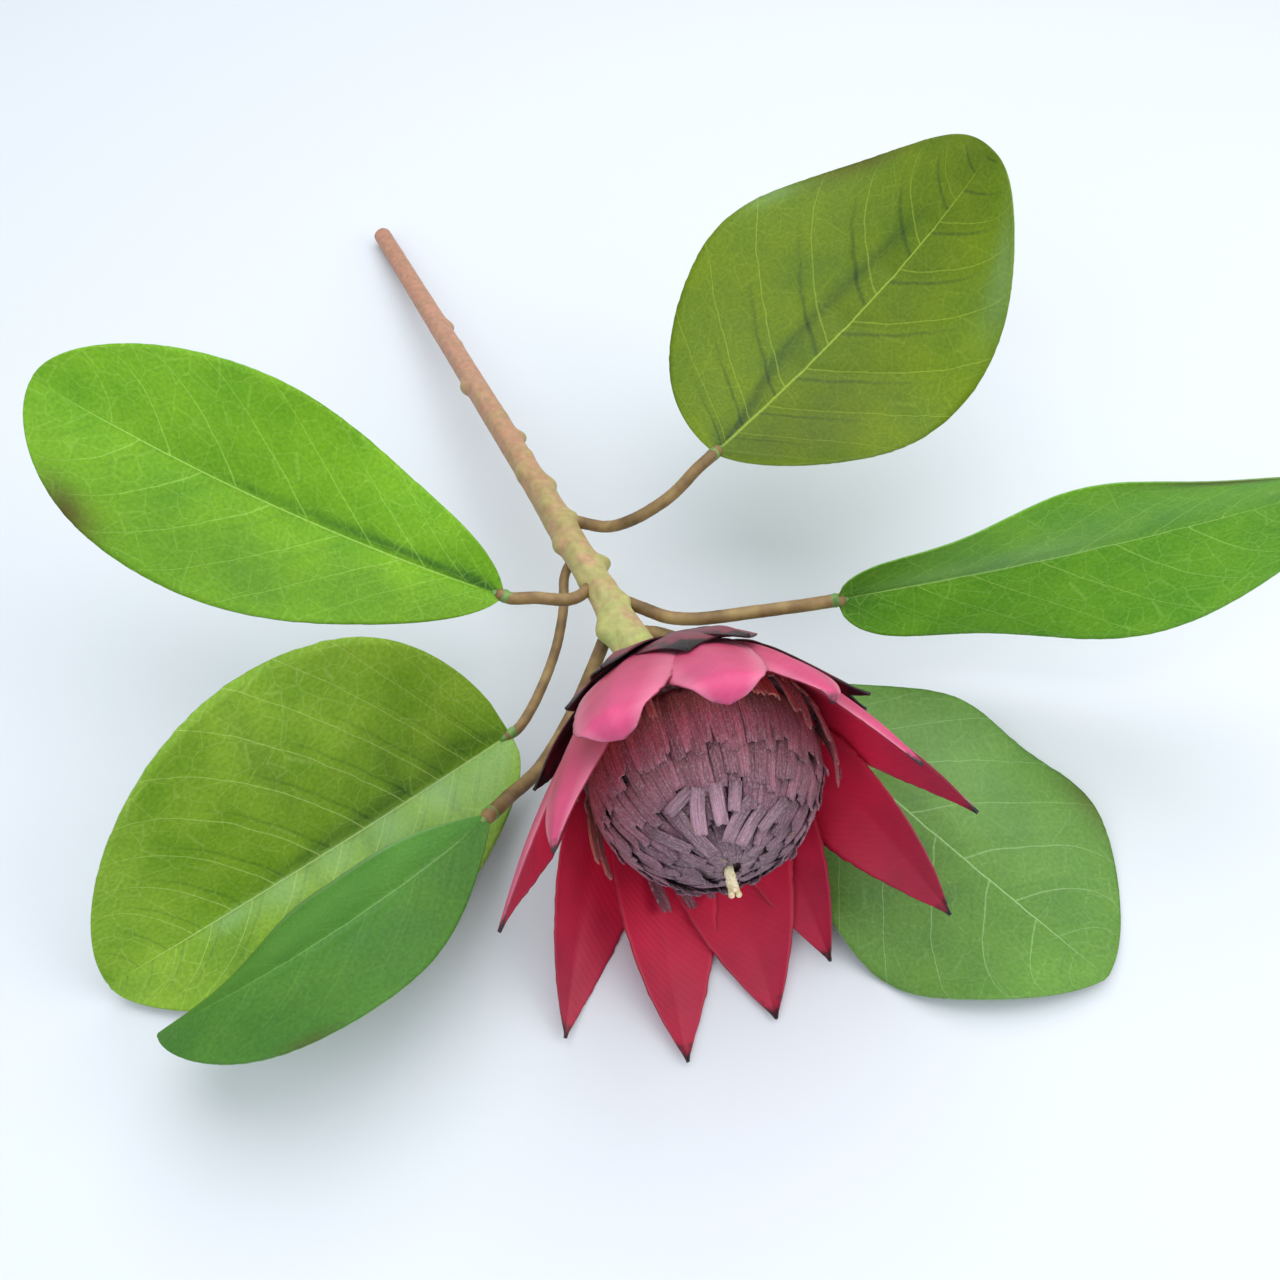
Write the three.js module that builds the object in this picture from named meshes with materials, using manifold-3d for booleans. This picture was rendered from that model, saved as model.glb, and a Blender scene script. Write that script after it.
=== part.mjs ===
// A protea flower stem of fabric and moulded plastic, lying on a table: one cut stem, six broad leaves on
// bent stalks, and one open head of pointed bracts round a dome of flat styles.
//
// Sizes are in millimetres. X runs to the right of someone facing the flower, Y runs away from them, and Z is
// up, with the table top at Z = 0. Pieces are placed in a layout frame whose X and Y start at the viewer's
// feet, and the whole group is moved at the end so that the origin is the middle of the bottom.
import * as THREE from 'three';
import { mergeVertices } from 'three/addons/utils/BufferGeometryUtils.js';
import Module from 'manifold-3d';

const wasm = await Module();
wasm.setup();

// ---------------------------------------------------------------------------------------------------------
// Driving dimensions

const ORIGIN = [14, 312.4, 0]; // layout point under the middle of the whole object
const GAP = 0.3; // clearance between two pieces that sit in one another
const BLADE = 0.8; // thickness of a leaf blade
const BRACT = 0.8; // thickness of a bract

// The head: the centre of its dome, and the way its face looks (towards the viewer, a little right and up).
const HEAD_CENTRE = [18.5, 195.3, 44.6];
const HEAD_RIGHT = [0.978, 0.206, 0];
const HEAD_UP = [-0.025, 0.117, 0.993];
const HEAD_AXIS = [0.205, -0.971, 0.12];

const CORE_RADIUS = 32.7; // round body of the dome under its styles
const DOME_BACK_RADIUS = 36.5; // smooth back of the dome, seated in the cup
const CUP_INNER_RADIUS = DOME_BACK_RADIUS + GAP;
const CUP_OUTER_RADIUS = 39.4;
const CALYX_INNER_RADIUS = CUP_OUTER_RADIUS + GAP;
const CALYX_OUTER_RADIUS = 42.2;
const RECEPTACLE_RADIUS = CALYX_OUTER_RADIUS + GAP;

// Rows of styles on the dome: the angle from the tip of the dome to their free ends, and how many stand there.
const STYLE_ROWS = [
  { end: 9, reach: 22, count: 7 },
  { end: 21, reach: 26, count: 13 },
  { end: 36, reach: 30, count: 20 },
  { end: 54, reach: 45, count: 30 },
];
const STYLE_WIDTH = 4.6;
const STYLE_RISE = 2.4; // how far a style's free end stands above the core
const SKIRT_COUNT = 18; // loose short styles round the rim
const STIGMA_RADIUS = 1.9;
const STIGMA_LENGTH = 12;

// Long inner bracts: where each tip is, as its distance in front of the dome's centre, its distance from the
// head's axis, and its clock angle (0 is up, positive turns to the right), with the widest width of the blade.
const BRACTS = [
  { front: 30, out: 68, clock: 3, width: 32, layer: 0 },
  { front: 45, out: 64, clock: 42, width: 27, layer: 1 },
  { front: 45, out: 67, clock: 72, width: 34, layer: 0 },
  { front: 47.5, out: 67.5, clock: 112.5, width: 38, layer: 1 },
  { front: 45.6, out: 51.2, clock: 146.5, width: 25, layer: 0 },
  { front: 56, out: 51.4, clock: 170, width: 31, layer: 1 },
  { front: 63, out: 55.2, clock: -159, width: 30, layer: 0 },
  { front: 49, out: 72.4, clock: -133, width: 30, layer: 1 },
  { front: 47, out: 66, clock: -81, width: 29, layer: 0 },
  { front: 46, out: 64, clock: -51, width: 27, layer: 1 },
  { front: 34, out: 73, clock: -24, width: 30, layer: 0 },
];

// Short dark outer bracts that hug the cup.
const OUTER_BRACTS = [
  { front: 0, out: 56, clock: 15, width: 24, layer: 1 },
  { front: 17.5, out: 57.7, clock: 44, width: 22, layer: 0 },
  { front: -2, out: 51, clock: 76, width: 26, layer: 1 },
  { front: -10, out: 45, clock: 108, width: 25, layer: 0 },
  { front: -12, out: 43.5, clock: 142, width: 24, layer: 1 },
  { front: -10, out: 42.6, clock: 176, width: 25, layer: 0 },
  { front: -5, out: 45.5, clock: -149, width: 24, layer: 1 },
  { front: -4, out: 48, clock: -116, width: 24, layer: 0 },
  { front: -1, out: 49.6, clock: -86, width: 24, layer: 1 },
  { front: -6, out: 49, clock: -58, width: 24, layer: 0 },
  { front: -9, out: 48.6, clock: -33, width: 25, layer: 1 },
  { front: 9, out: 61, clock: -7, width: 31, layer: 0 },
];

// The stem: points of its centre line from the cut end to the neck, each with the radius there.
const STEM = [
  [-120.1, 510.4, 3.2, 3.9],
  [-98.5, 461.9, 9.9, 4.1],
  [-77.1, 414.8, 16.0, 4.4],
  [-58.6, 373.5, 21.3, 4.6],
  [-42.1, 336.5, 26.0, 4.7],
  [-34.3, 319.1, 28.2, 5.0],
  [-27.1, 302.7, 30.3, 5.4],
  [-20.5, 287.6, 32.2, 5.2],
  [-13.4, 272.5, 34.1, 5.1],
  [-7.5, 258.6, 35.9, 5.6],
  [-3.4, 248.6, 37.0, 6.6],
  [-1.3, 243.8, 37.4, 7.0],
];
const STEM_STATIONS = 28;
// Unit vector from the neck to the dome's centre: the neck comes in a few degrees off the head's own axis.
const NECK_AXIS = [0.362, -0.919, 0.15];
// Scars and buds on the stem: how far along (0 cut end, 1 neck), which side (degrees: 0 left, 90 on top,
// 180 right), and size.
const BUDS = [
  { along: 0.3, round: 185, radius: 2.2 },
  { along: 0.43, round: 5, radius: 2.5 },
  { along: 0.59, round: 185, radius: 2.5 },
  { along: 0.67, round: 40, radius: 2.2 },
  { along: 0.7, round: 175, radius: 2.7 },
  { along: 0.745, round: 70, radius: 2.5 },
  { along: 0.775, round: 150, radius: 2.4 },
  { along: 0.81, round: 10, radius: 2.4 },
  { along: 0.86, round: 178, radius: 3.2 },
  { along: 0.965, round: 15, radius: 4.2 },
];

// Leaves. base: where the blade begins; heading, climb: the way the midrib sets off (degrees); swerve, bend:
// how much those change by the tip; roll, twist: the blade's turn about its midrib at the base and the change
// by the tip; peak: where it is widest; blunt, bluntTip: how full the outline is; right: share of the width
// on the right of the midrib; fold: how far the halves are folded up; wave: height of the edge's waves.
// stalk: points of the leaf stalk from the stem to the blade, and its radius.
const LEAVES = [
  {
    name: '1', colour: 0x6db026, base: [-44.9, 263.3, 41.8], heading: 175.9, climb: 24.2, bend: 3.7,
    swerve: -15, roll: 23.6, twist: 24.6, length: 155, width: 75.8, peak: 0.6, blunt: 0.47, bluntTip: 0.61,
    right: 0.99, fold: 20.9, wave: 5, waves: 1.62, phase: 1.6, shift: 2.65, stalkRadius: 2.1,
    stalk: [[-15.5, 279, 34.5], [-18.4, 269.8, 35.6], [-23.5, 265.3, 37.2], [-34.6, 264.4, 39.2]],
  },
  {
    name: '2', colour: 0x6a8f25, base: [-42.2, 225.5, 17], heading: 220, climb: 0.65, bend: -11.1,
    swerve: -10, roll: 30.4, twist: 16, length: 140.2, width: 102.1, peak: 0.45, blunt: 0.56,
    bluntTip: 0.65, right: 1.3, fold: 26.8, wave: 8.2, waves: 1.77, phase: -0.44, shift: -1.63,
    stalkRadius: 1.7,
    stalk: [[-21.5, 292, 31], [-25.9, 284, 27.5], [-26.1, 272.2, 24.5], [-28.5, 256.1, 21], [-35, 236.8, 17.6]],
  },
  {
    name: '3', colour: 0x4d8b3f, base: [-44.3, 186.2, 34.3], heading: 232.7, climb: 12, bend: -33.2,
    swerve: -33.7, roll: -4.5, twist: -35.6, length: 110.1, width: 63.9, peak: 0.59, blunt: 0.66,
    bluntTip: 0.78, right: 1.11, fold: -17.8, wave: 1.7, waves: 1.65, phase: 0.47, shift: 1.2,
    stalkRadius: 2.3,
    stalk: [[-8.5, 262, 33], [-14.5, 250, 24], [-22, 235, 15.5], [-31.5, 214, 16], [-40, 196, 27.5]],
  },
  {
    name: '4', colour: 0x5f8a28, base: [25.3, 310.8, 59.6], heading: 50.6, climb: -1.1, bend: 63.7,
    swerve: -28.4, roll: -17.8, twist: 17.1, length: 141.9, width: 106.7, peak: 0.46, blunt: 0.75,
    bluntTip: 0.52, right: 0.88, fold: -4.7, wave: 13.8, waves: 0.91, phase: 0.91, shift: 3.9,
    stalkRadius: 2.1,
    stalk: [[-24, 306, 31], [-12.2, 300.9, 33.5], [-5.6, 298.3, 38.2], [2, 297.6, 44.2], [11, 299.6, 51.2], [19.5, 305.5, 57.8]],
  },
  {
    name: '5', colour: 0x57a52e, base: [64.2, 261.1, 42.1], heading: 8.8, climb: 4.5, bend: 33.2,
    swerve: -18.3, roll: -73.6, twist: -33.5, length: 154.8, width: 78.5, peak: 0.67, blunt: 0.27,
    bluntTip: 0.58, right: 0.98, fold: 14.1, wave: 4.3, waves: 1.41, phase: 2.37, shift: -2.45,
    stalkRadius: 2.2,
    stalk: [[-11, 269.5, 34.8], [0.5, 263.2, 35.4], [9.2, 258.2, 36.8], [18.2, 256.3, 38.3], [38, 257.8, 40.2], [56, 259.8, 41.6]],
  },
  {
    name: '6', colour: 0x5f944a, base: [47.2, 237.7, 16.9], heading: -39.6, climb: -16.6, bend: 21.2,
    swerve: -9.3, roll: -12.3, twist: 19.3, length: 129.2, width: 97.8, peak: 0.57, blunt: 0.43,
    bluntTip: 0.77, right: 1.01, fold: 1.3, wave: 5.3, waves: 2.18, phase: 1.64, shift: 2.16,
    stalkRadius: 2.1,
    stalk: [[-1.5, 253.5, 35], [6, 256.5, 30.5], [16, 256, 25.5], [28, 250.5, 21], [38, 244.5, 18.8]],
  },
];
const LEAF_ROWS = 15;
const LEAF_COLUMNS = [-1, -0.62, -0.07, 0, 0.07, 0.62, 1];
const VEIN_SLANT = 0.2; // how far a side vein runs forward by the edge, as a share of the blade
const VEIN_RELIEF = 0.35;

const COLOURS = {
  stemDry: 0xb98c74, stalk: 0x9a7f45, bract: 0xb8203f, outerBract: 0x4a1622, dome: 0x82596a, stigma: 0xe4d9b0,
};

// ---------------------------------------------------------------------------------------------------------
// Helpers

const V = (x, y, z) => new THREE.Vector3(x, y, z);
const rad = THREE.MathUtils.degToRad;
const mix = THREE.MathUtils.lerp;

function seeded(seed) {
  let state = seed >>> 0;
  return () => {
    state = (Math.imul(state, 1664525) + 1013904223) >>> 0;
    return state / 4294967296;
  };
}

function toSolid(geometry) {
  const bare = geometry.clone();
  bare.deleteAttribute('normal');
  bare.deleteAttribute('uv');
  const merged = mergeVertices(bare, 1e-4);
  return new wasm.Manifold(new wasm.Mesh({
    numProp: 3,
    vertProperties: new Float32Array(merged.attributes.position.array),
    triVerts: new Uint32Array(merged.index.array),
  }));
}

// The largest outer shell of a solid, without crumbs or closed voids, back as a three.js geometry.
function toGeometry(solid, tidy = 0.01) {
  const shells = solid.simplify(tidy).decompose().filter((s) => s.volume() > 0);
  shells.sort((a, b) => b.volume() - a.volume());
  const mesh = shells[0].getMesh();
  const geometry = new THREE.BufferGeometry();
  geometry.setAttribute('position', new THREE.BufferAttribute(new Float32Array(mesh.vertProperties), 3));
  geometry.setIndex(new THREE.BufferAttribute(new Uint32Array(mesh.triVerts), 1));
  geometry.computeVertexNormals();
  return geometry;
}

const union = (solids) => wasm.Manifold.union(solids);

// A closed plate: rows x columns of points on a sheet, given one thickness along the sheet's own normal.
// The lower face repeats the upper face's triangles. under(row, column) adds to the thickness below.
function plate(points, thickness, under = () => 0) {
  const rows = points.length;
  const columns = points[0].length;
  const position = [];
  const normalAt = (i, j) => {
    const du = points[Math.min(i + 1, rows - 1)][j].clone().sub(points[Math.max(i - 1, 0)][j]);
    const dv = points[i][Math.min(j + 1, columns - 1)].clone().sub(points[i][Math.max(j - 1, 0)]);
    return du.cross(dv).normalize();
  };
  for (const side of [0.5, -0.5]) {
    for (let i = 0; i < rows; i += 1) {
      for (let j = 0; j < columns; j += 1) {
        const extra = side < 0 ? -under(i, j) : 0;
        const p = points[i][j].clone().addScaledVector(normalAt(i, j), side * thickness + extra);
        position.push(p.x, p.y, p.z);
      }
    }
  }
  const index = [];
  const top = (i, j) => i * columns + j;
  const low = (i, j) => rows * columns + top(i, j);
  const quad = (a, b, c, d) => index.push(a, b, c, a, c, d);
  for (let i = 0; i + 1 < rows; i += 1) {
    for (let j = 0; j + 1 < columns; j += 1) {
      quad(top(i, j), top(i + 1, j), top(i + 1, j + 1), top(i, j + 1));
      index.push(low(i, j), low(i + 1, j + 1), low(i + 1, j), low(i, j), low(i, j + 1), low(i + 1, j + 1));
    }
    quad(top(i, 0), low(i, 0), low(i + 1, 0), top(i + 1, 0));
    quad(top(i, columns - 1), top(i + 1, columns - 1), low(i + 1, columns - 1), low(i, columns - 1));
  }
  for (let j = 0; j + 1 < columns; j += 1) {
    quad(top(0, j), top(0, j + 1), low(0, j + 1), low(0, j));
    quad(top(rows - 1, j), low(rows - 1, j), low(rows - 1, j + 1), top(rows - 1, j + 1));
  }
  const geometry = new THREE.BufferGeometry();
  geometry.setAttribute('position', new THREE.Float32BufferAttribute(position, 3));
  geometry.setIndex(index);
  return geometry;
}

// A closed round rod along a smooth curve, with a radius for each station and domed ends.
function rod(points, radiusAt, stations, sides) {
  const curve = new THREE.CatmullRomCurve3(points, false, 'centripetal');
  const frames = [];
  let side = null;
  for (let k = 0; k <= stations; k += 1) {
    const t = k / stations;
    const tangent = curve.getTangentAt(t);
    if (side === null) side = V(0, 0, 1).cross(tangent).normalize();
    side.addScaledVector(tangent, -side.dot(tangent)).normalize();
    frames.push({ at: curve.getPointAt(t), tangent, side: side.clone(), up: tangent.clone().cross(side), t });
  }
  const rings = [];
  const first = frames[0];
  const last = frames[frames.length - 1];
  const capRing = (frame, reach, share) => rings.push({
    frame, centre: frame.at.clone().addScaledVector(frame.tangent, reach * radiusAt(frame.t)),
    radius: radiusAt(frame.t) * share,
  });
  capRing(first, -0.5, 0.62);
  for (const frame of frames) rings.push({ frame, centre: frame.at, radius: radiusAt(frame.t) });
  capRing(last, 0.5, 0.62);
  const position = [];
  for (const ring of rings) {
    for (let k = 0; k < sides; k += 1) {
      const a = (2 * Math.PI * k) / sides;
      const p = ring.centre.clone()
        .addScaledVector(ring.frame.side, ring.radius * Math.cos(a))
        .addScaledVector(ring.frame.up, ring.radius * Math.sin(a));
      position.push(p.x, p.y, p.z);
    }
  }
  const startTip = first.at.clone().addScaledVector(first.tangent, -0.62 * radiusAt(0));
  const endTip = last.at.clone().addScaledVector(last.tangent, 0.62 * radiusAt(1));
  position.push(startTip.x, startTip.y, startTip.z, endTip.x, endTip.y, endTip.z);
  const index = [];
  const n = rings.length;
  for (let k = 0; k < sides; k += 1) {
    const next = (k + 1) % sides;
    for (let i = 0; i + 1 < n; i += 1) {
      const a = i * sides;
      const b = a + sides;
      index.push(a + k, a + next, b + next, a + k, b + next, b + k);
    }
    index.push(n * sides, next, k);
    index.push(n * sides + 1, (n - 1) * sides + k, (n - 1) * sides + next);
  }
  const geometry = new THREE.BufferGeometry();
  geometry.setAttribute('position', new THREE.Float32BufferAttribute(position, 3));
  geometry.setIndex(index);
  return { geometry, curve, frames };
}

// A round blob, stretched along its own axis.
function blob(centre, direction, radius, stretch) {
  const geometry = new THREE.SphereGeometry(radius, 7, 4);
  geometry.scale(1, stretch, 1);
  const turn = new THREE.Quaternion().setFromUnitVectors(V(0, 1, 0), direction.clone().normalize());
  geometry.applyQuaternion(turn);
  geometry.translate(centre.x, centre.y, centre.z);
  return geometry;
}

const root = new THREE.Group();
root.name = 'protea';
root.position.set(-ORIGIN[0], -ORIGIN[1], -ORIGIN[2]);

function addMesh(name, geometry, colour, roughness, parent = root) {
  const material = new THREE.MeshStandardMaterial({ color: colour, roughness, metalness: 0 });
  const mesh = new THREE.Mesh(geometry, material);
  mesh.name = name;
  parent.add(mesh);
  return mesh;
}

// ---------------------------------------------------------------------------------------------------------
// Leaves: each blade follows a bent and twisted midrib; side veins press a shallow relief into both faces.

function midrib(leaf, steps = 48) {
  const stations = [];
  const at = V(...leaf.base);
  const direction = (u) => {
    const h = rad(leaf.heading + leaf.swerve * u);
    const e = rad(leaf.climb + leaf.bend * u);
    return { h, tangent: V(Math.cos(e) * Math.cos(h), Math.cos(e) * Math.sin(h), Math.sin(e)) };
  };
  for (let i = 0; i <= steps; i += 1) {
    const u = i / steps;
    const { h, tangent } = direction(u);
    const flat = V(Math.sin(h), -Math.cos(h), 0);
    const above = flat.clone().cross(tangent);
    const r = rad(leaf.roll + leaf.twist * u);
    stations.push({
      at: at.clone(),
      tangent,
      side: flat.clone().multiplyScalar(Math.cos(r)).addScaledVector(above, Math.sin(r)),
      normal: above.clone().multiplyScalar(Math.cos(r)).addScaledVector(flat, -Math.sin(r)),
    });
    at.addScaledVector(direction(u + 0.5 / steps).tangent, leaf.length / steps);
  }
  return (u) => {
    const x = THREE.MathUtils.clamp(u, 0, 1) * steps;
    const i = Math.min(Math.floor(x), steps - 1);
    const blend = (key) => stations[i][key].clone().lerp(stations[i + 1][key], x - i);
    return {
      at: blend('at'), side: blend('side').normalize(), normal: blend('normal').normalize(),
      tangent: blend('tangent').normalize(),
    };
  };
}

function halfWidth(leaf, u, v) {
  const a = Math.log(0.5) / Math.log(leaf.peak);
  const swell = Math.sin(Math.PI * Math.max(u, 1e-6) ** a);
  const full = leaf.width / 2 * Math.max(swell, 0) ** mix(leaf.blunt, leaf.bluntTip, u);
  return Math.max(full * (v > 0 ? leaf.right : 2 - leaf.right), 1.4);
}

function leafPoint(leaf, rib, s, v, relief) {
  const u = Math.min(s + VEIN_SLANT * Math.abs(v) ** 1.3 * 4 * s * (1 - s), 1);
  const { at, side, normal } = rib(u);
  const w = halfWidth(leaf, u, v);
  const env = Math.sin(Math.PI * u ** 0.7);
  const turn = 2 * Math.PI * leaf.waves * u + leaf.phase + (v > 0 ? 0 : leaf.shift);
  const groove = 0.5 * Math.max(0, 1 - Math.abs(v) / 0.07) * Math.min(1, 8 * (1 - u));
  const lift = leaf.wave * v * v * env * Math.sin(turn) + relief * env * (1 - 0.6 * v * v) - groove;
  const f = rad(leaf.fold);
  return at.clone()
    .addScaledVector(side, v * w * Math.cos(f))
    .addScaledVector(normal, Math.abs(v) * w * Math.sin(f) + lift);
}

for (const leaf of LEAVES) {
  const rib = midrib(leaf);
  const grid = [];
  for (let i = 0; i <= LEAF_ROWS; i += 1) {
    const x = i / LEAF_ROWS;
    const s = x - 0.11 * Math.sin(2 * Math.PI * x) / 2; // rows closer together at both ends
    const relief = (i === 0 || i === LEAF_ROWS) ? 0 : VEIN_RELIEF * (i % 2 ? 1 : -1);
    grid.push(LEAF_COLUMNS.map((v) => leafPoint(leaf, rib, s, v, Math.abs(v) < 0.01 ? 0 : relief)));
  }
  const middle = (LEAF_COLUMNS.length - 1) / 2;
  const blade = toSolid(plate(grid, BLADE, (i, j) => (j === middle ? 1.5 * (1 - i / LEAF_ROWS) + 0.2 : 0)));

  const start = rib(0);
  const r = leaf.stalkRadius;
  const into = start.at.clone().addScaledVector(start.tangent, 1.5);
  const stalkPoints = [...leaf.stalk.map((p) => V(...p)), start.at.clone().addScaledVector(start.tangent, -3), into];
  leaf.stalkPoints = stalkPoints;
  const stalk = rod(stalkPoints, () => r, 9, 7);
  const room = rod(stalkPoints, () => r + GAP, 9, 7);
  leaf.room = toSolid(room.geometry);
  const collar = rod(
    [-3.4, -1, 2, 6].map((d) => start.at.clone().addScaledVector(start.tangent, d)),
    (t) => mix(r + 1.2, 1.6, t ** 3),
    3,
    8,
  );
  const body = union([blade, toSolid(collar.geometry)]).subtract(leaf.room);
  addMesh(`leaf_${leaf.name}`, toGeometry(body), leaf.colour, 0.55);
  leaf.stalkGeometry = stalk.geometry;
}

// ---------------------------------------------------------------------------------------------------------
// Stem: a moulded rod with buds and scars, a socket for each leaf stalk, and a dish that carries the head.

const headMatrix = new THREE.Matrix4()
  .makeBasis(V(...HEAD_RIGHT), V(...HEAD_UP), V(...HEAD_AXIS))
  .setPosition(V(...HEAD_CENTRE));

{
  const radii = STEM.map((p) => p[3]);
  const centres = STEM.map((p) => V(p[0], p[1], p[2]));
  const measure = new THREE.CatmullRomCurve3(centres, false, 'centripetal');
  const lengths = measure.getLengths(400);
  const total = lengths[400];
  const share = centres.map((c, i) => {
    const k = Math.round((i / (centres.length - 1)) * 400);
    return lengths[k] / total;
  });
  const radiusAt = (t) => {
    let i = 0;
    while (i < share.length - 2 && t > share[i + 1]) i += 1;
    const x = (t - share[i]) / (share[i + 1] - share[i]);
    return mix(radii[i], radii[i + 1], THREE.MathUtils.clamp(x, 0, 1));
  };
  const made = rod(centres, radiusAt, STEM_STATIONS, 9);
  const pieces = [toSolid(made.geometry)];
  for (const bud of BUDS) {
    const frame = made.frames[Math.round(bud.along * STEM_STATIONS)];
    const a = rad(bud.round);
    const out = frame.side.clone().multiplyScalar(-Math.cos(a)).addScaledVector(frame.up, Math.sin(a));
    const centre = frame.at.clone().addScaledVector(out, radiusAt(bud.along) - 0.35 * bud.radius);
    pieces.push(toSolid(blob(centre, frame.tangent, bud.radius, 1.5)));
  }
  const dish = [[0, -52], [6.9, -52], [7.7, -49], [9.6, -46.5], [13, -44.3], [14.6, -41.6]];
  for (const angle of [19, 10, 0]) {
    dish.push([RECEPTACLE_RADIUS * Math.sin(rad(angle)), -RECEPTACLE_RADIUS * Math.cos(rad(angle))]);
  }
  const profile = dish.map(([x, y]) => new THREE.Vector2(x, y));
  const lathe = new THREE.LatheGeometry(profile, 14);
  lathe.applyQuaternion(new THREE.Quaternion().setFromUnitVectors(V(0, 1, 0), V(...NECK_AXIS).normalize()));
  lathe.translate(...HEAD_CENTRE);
  pieces.push(toSolid(lathe));
  let stem = union(pieces);
  for (const leaf of LEAVES) stem = stem.subtract(leaf.room);
  const table = new THREE.BoxGeometry(400, 700, 20).translate(0, 350, -10);
  stem = stem.subtract(toSolid(table)); // a small flat under the cut end
  addMesh('stem', toGeometry(stem), COLOURS.stemDry, 0.6);
}
for (const leaf of LEAVES) addMesh(`stalk_${leaf.name}`, leaf.stalkGeometry, COLOURS.stalk, 0.6);

// ---------------------------------------------------------------------------------------------------------
// Head, in its own frame: Z is the way the flower looks, Y is its up, X its right.

const head = new THREE.Group();
head.matrixAutoUpdate = false;
head.matrix.copy(headMatrix);
root.add(head);

// A point at an angle from the front tip of the dome, a clock angle and a distance from its centre.
const polar = (angle, clock, radius) => V(
  radius * Math.sin(rad(angle)) * Math.sin(rad(clock)),
  radius * Math.sin(rad(angle)) * Math.cos(rad(clock)),
  radius * Math.cos(rad(angle)),
);

// A lathe round the head's axis from [radius, front] points.
function latheSolid(points, segments) {
  const lathe = new THREE.LatheGeometry(points.map(([x, y]) => new THREE.Vector2(x, y)), segments);
  lathe.rotateX(Math.PI / 2);
  return toSolid(lathe);
}
const arc = (radius, from, to, step) => {
  const points = [];
  const count = Math.max(1, Math.round(Math.abs(to - from) / step));
  for (let k = 0; k <= count; k += 1) {
    const a = rad(mix(from, to, k / count));
    points.push([radius * Math.sin(a), radius * Math.cos(a)]);
  }
  return points;
};

// One flat style: from its root to its free end along the dome, given as stations of angle and outer radius.
function style(clock, drift, stations, width, depth) {
  const rows = stations.map(([angle, radius], i) => {
    const c = clock + drift * (i / (stations.length - 1));
    const middle = polar(angle, c, radius - depth / 2);
    const across = V(Math.cos(rad(c)), -Math.sin(rad(c)), 0);
    const w = width * (i === stations.length - 1 ? 0.86 : 1);
    return [-0.5, 0.5].map((side) => middle.clone().addScaledVector(across, side * w));
  });
  const solid = toSolid(plate(rows, depth));
  return solid.volume() < 0 ? toSolid(plate(rows.map((row) => row.slice().reverse()), depth)) : solid;
}

{
  const random = seeded(7);
  const jitter = (size) => (random() - 0.5) * 2 * size;
  const body = [
    [0, CORE_RADIUS],
    ...arc(CORE_RADIUS, 14, 99, 14),
    ...arc(DOME_BACK_RADIUS, 101, 180, 15).map(([x, y], i, all) => (i === all.length - 1 ? [0, y] : [x, y])),
  ];
  const pieces = [latheSolid(body.reverse(), 15)];
  for (const row of STYLE_ROWS) {
    for (let k = 0; k < row.count; k += 1) {
      const clock = (360 * (k + jitter(0.22))) / row.count + row.end * 3;
      const end = Math.max(row.end + jitter(3.6), 3);
      const start = end + row.reach + jitter(2);
      const rise = CORE_RADIUS + STYLE_RISE + jitter(0.5);
      const low = CORE_RADIUS + 0.3 + jitter(0.25);
      const drift = jitter(3) / Math.sin(rad(end + 8));
      pieces.push(style(
        clock,
        THREE.MathUtils.clamp(drift, -14, 14),
        row.end < 25 ? [[start, low], [end, rise]] : [[start, low], [mix(start, end, 0.5), mix(low, rise, 0.62)], [end, rise]],
        STYLE_WIDTH + jitter(0.6),
        row.end < 25 ? 2.6 : 2.9,
      ));
    }
  }
  for (let k = 0; k < SKIRT_COUNT; k += 1) {
    const clock = (360 * (k + jitter(0.3))) / SKIRT_COUNT;
    const flare = random() ** 2 * 1.3;
    const end = 79 + jitter(5);
    pieces.push(style(
      clock,
      jitter(3),
      [[102.5, DOME_BACK_RADIUS - 0.1], [90, 38.3 + flare * 0.4], [end, 38.9 + flare]],
      3.6 + jitter(0.5),
      1.0,
    ));
  }
  let dome = union(pieces);
  const socket = new THREE.CylinderGeometry(STIGMA_RADIUS + GAP, STIGMA_RADIUS + GAP, 12, 12);
  socket.rotateX(Math.PI / 2).translate(0, 0, 37.2);
  dome = dome.subtract(toSolid(socket));
  addMesh('dome', toGeometry(dome, 0.06), COLOURS.dome, 0.9, head);

  const bottom = 31.2 + GAP;
  const prong = (lean) => toSolid(rod([
    V(0, 0, bottom + 0.62 * 0.9),
    V(lean * 0.25, 0, bottom + STIGMA_LENGTH * 0.45),
    V(lean, 0.4, bottom + STIGMA_LENGTH * 0.78),
    V(lean * 2.3, 1.1, bottom + STIGMA_LENGTH),
  ], (t) => mix(1.3, 0.8, t ** 2), 4, 6).geometry);
  const stub = new THREE.CylinderGeometry(STIGMA_RADIUS, STIGMA_RADIUS, 7.4, 12);
  stub.rotateX(Math.PI / 2).translate(0, 0, bottom + 3.7);
  addMesh('stigma', toGeometry(union([toSolid(stub), prong(0.9), prong(-0.9)])), COLOURS.stigma, 0.7, head);
}

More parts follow.
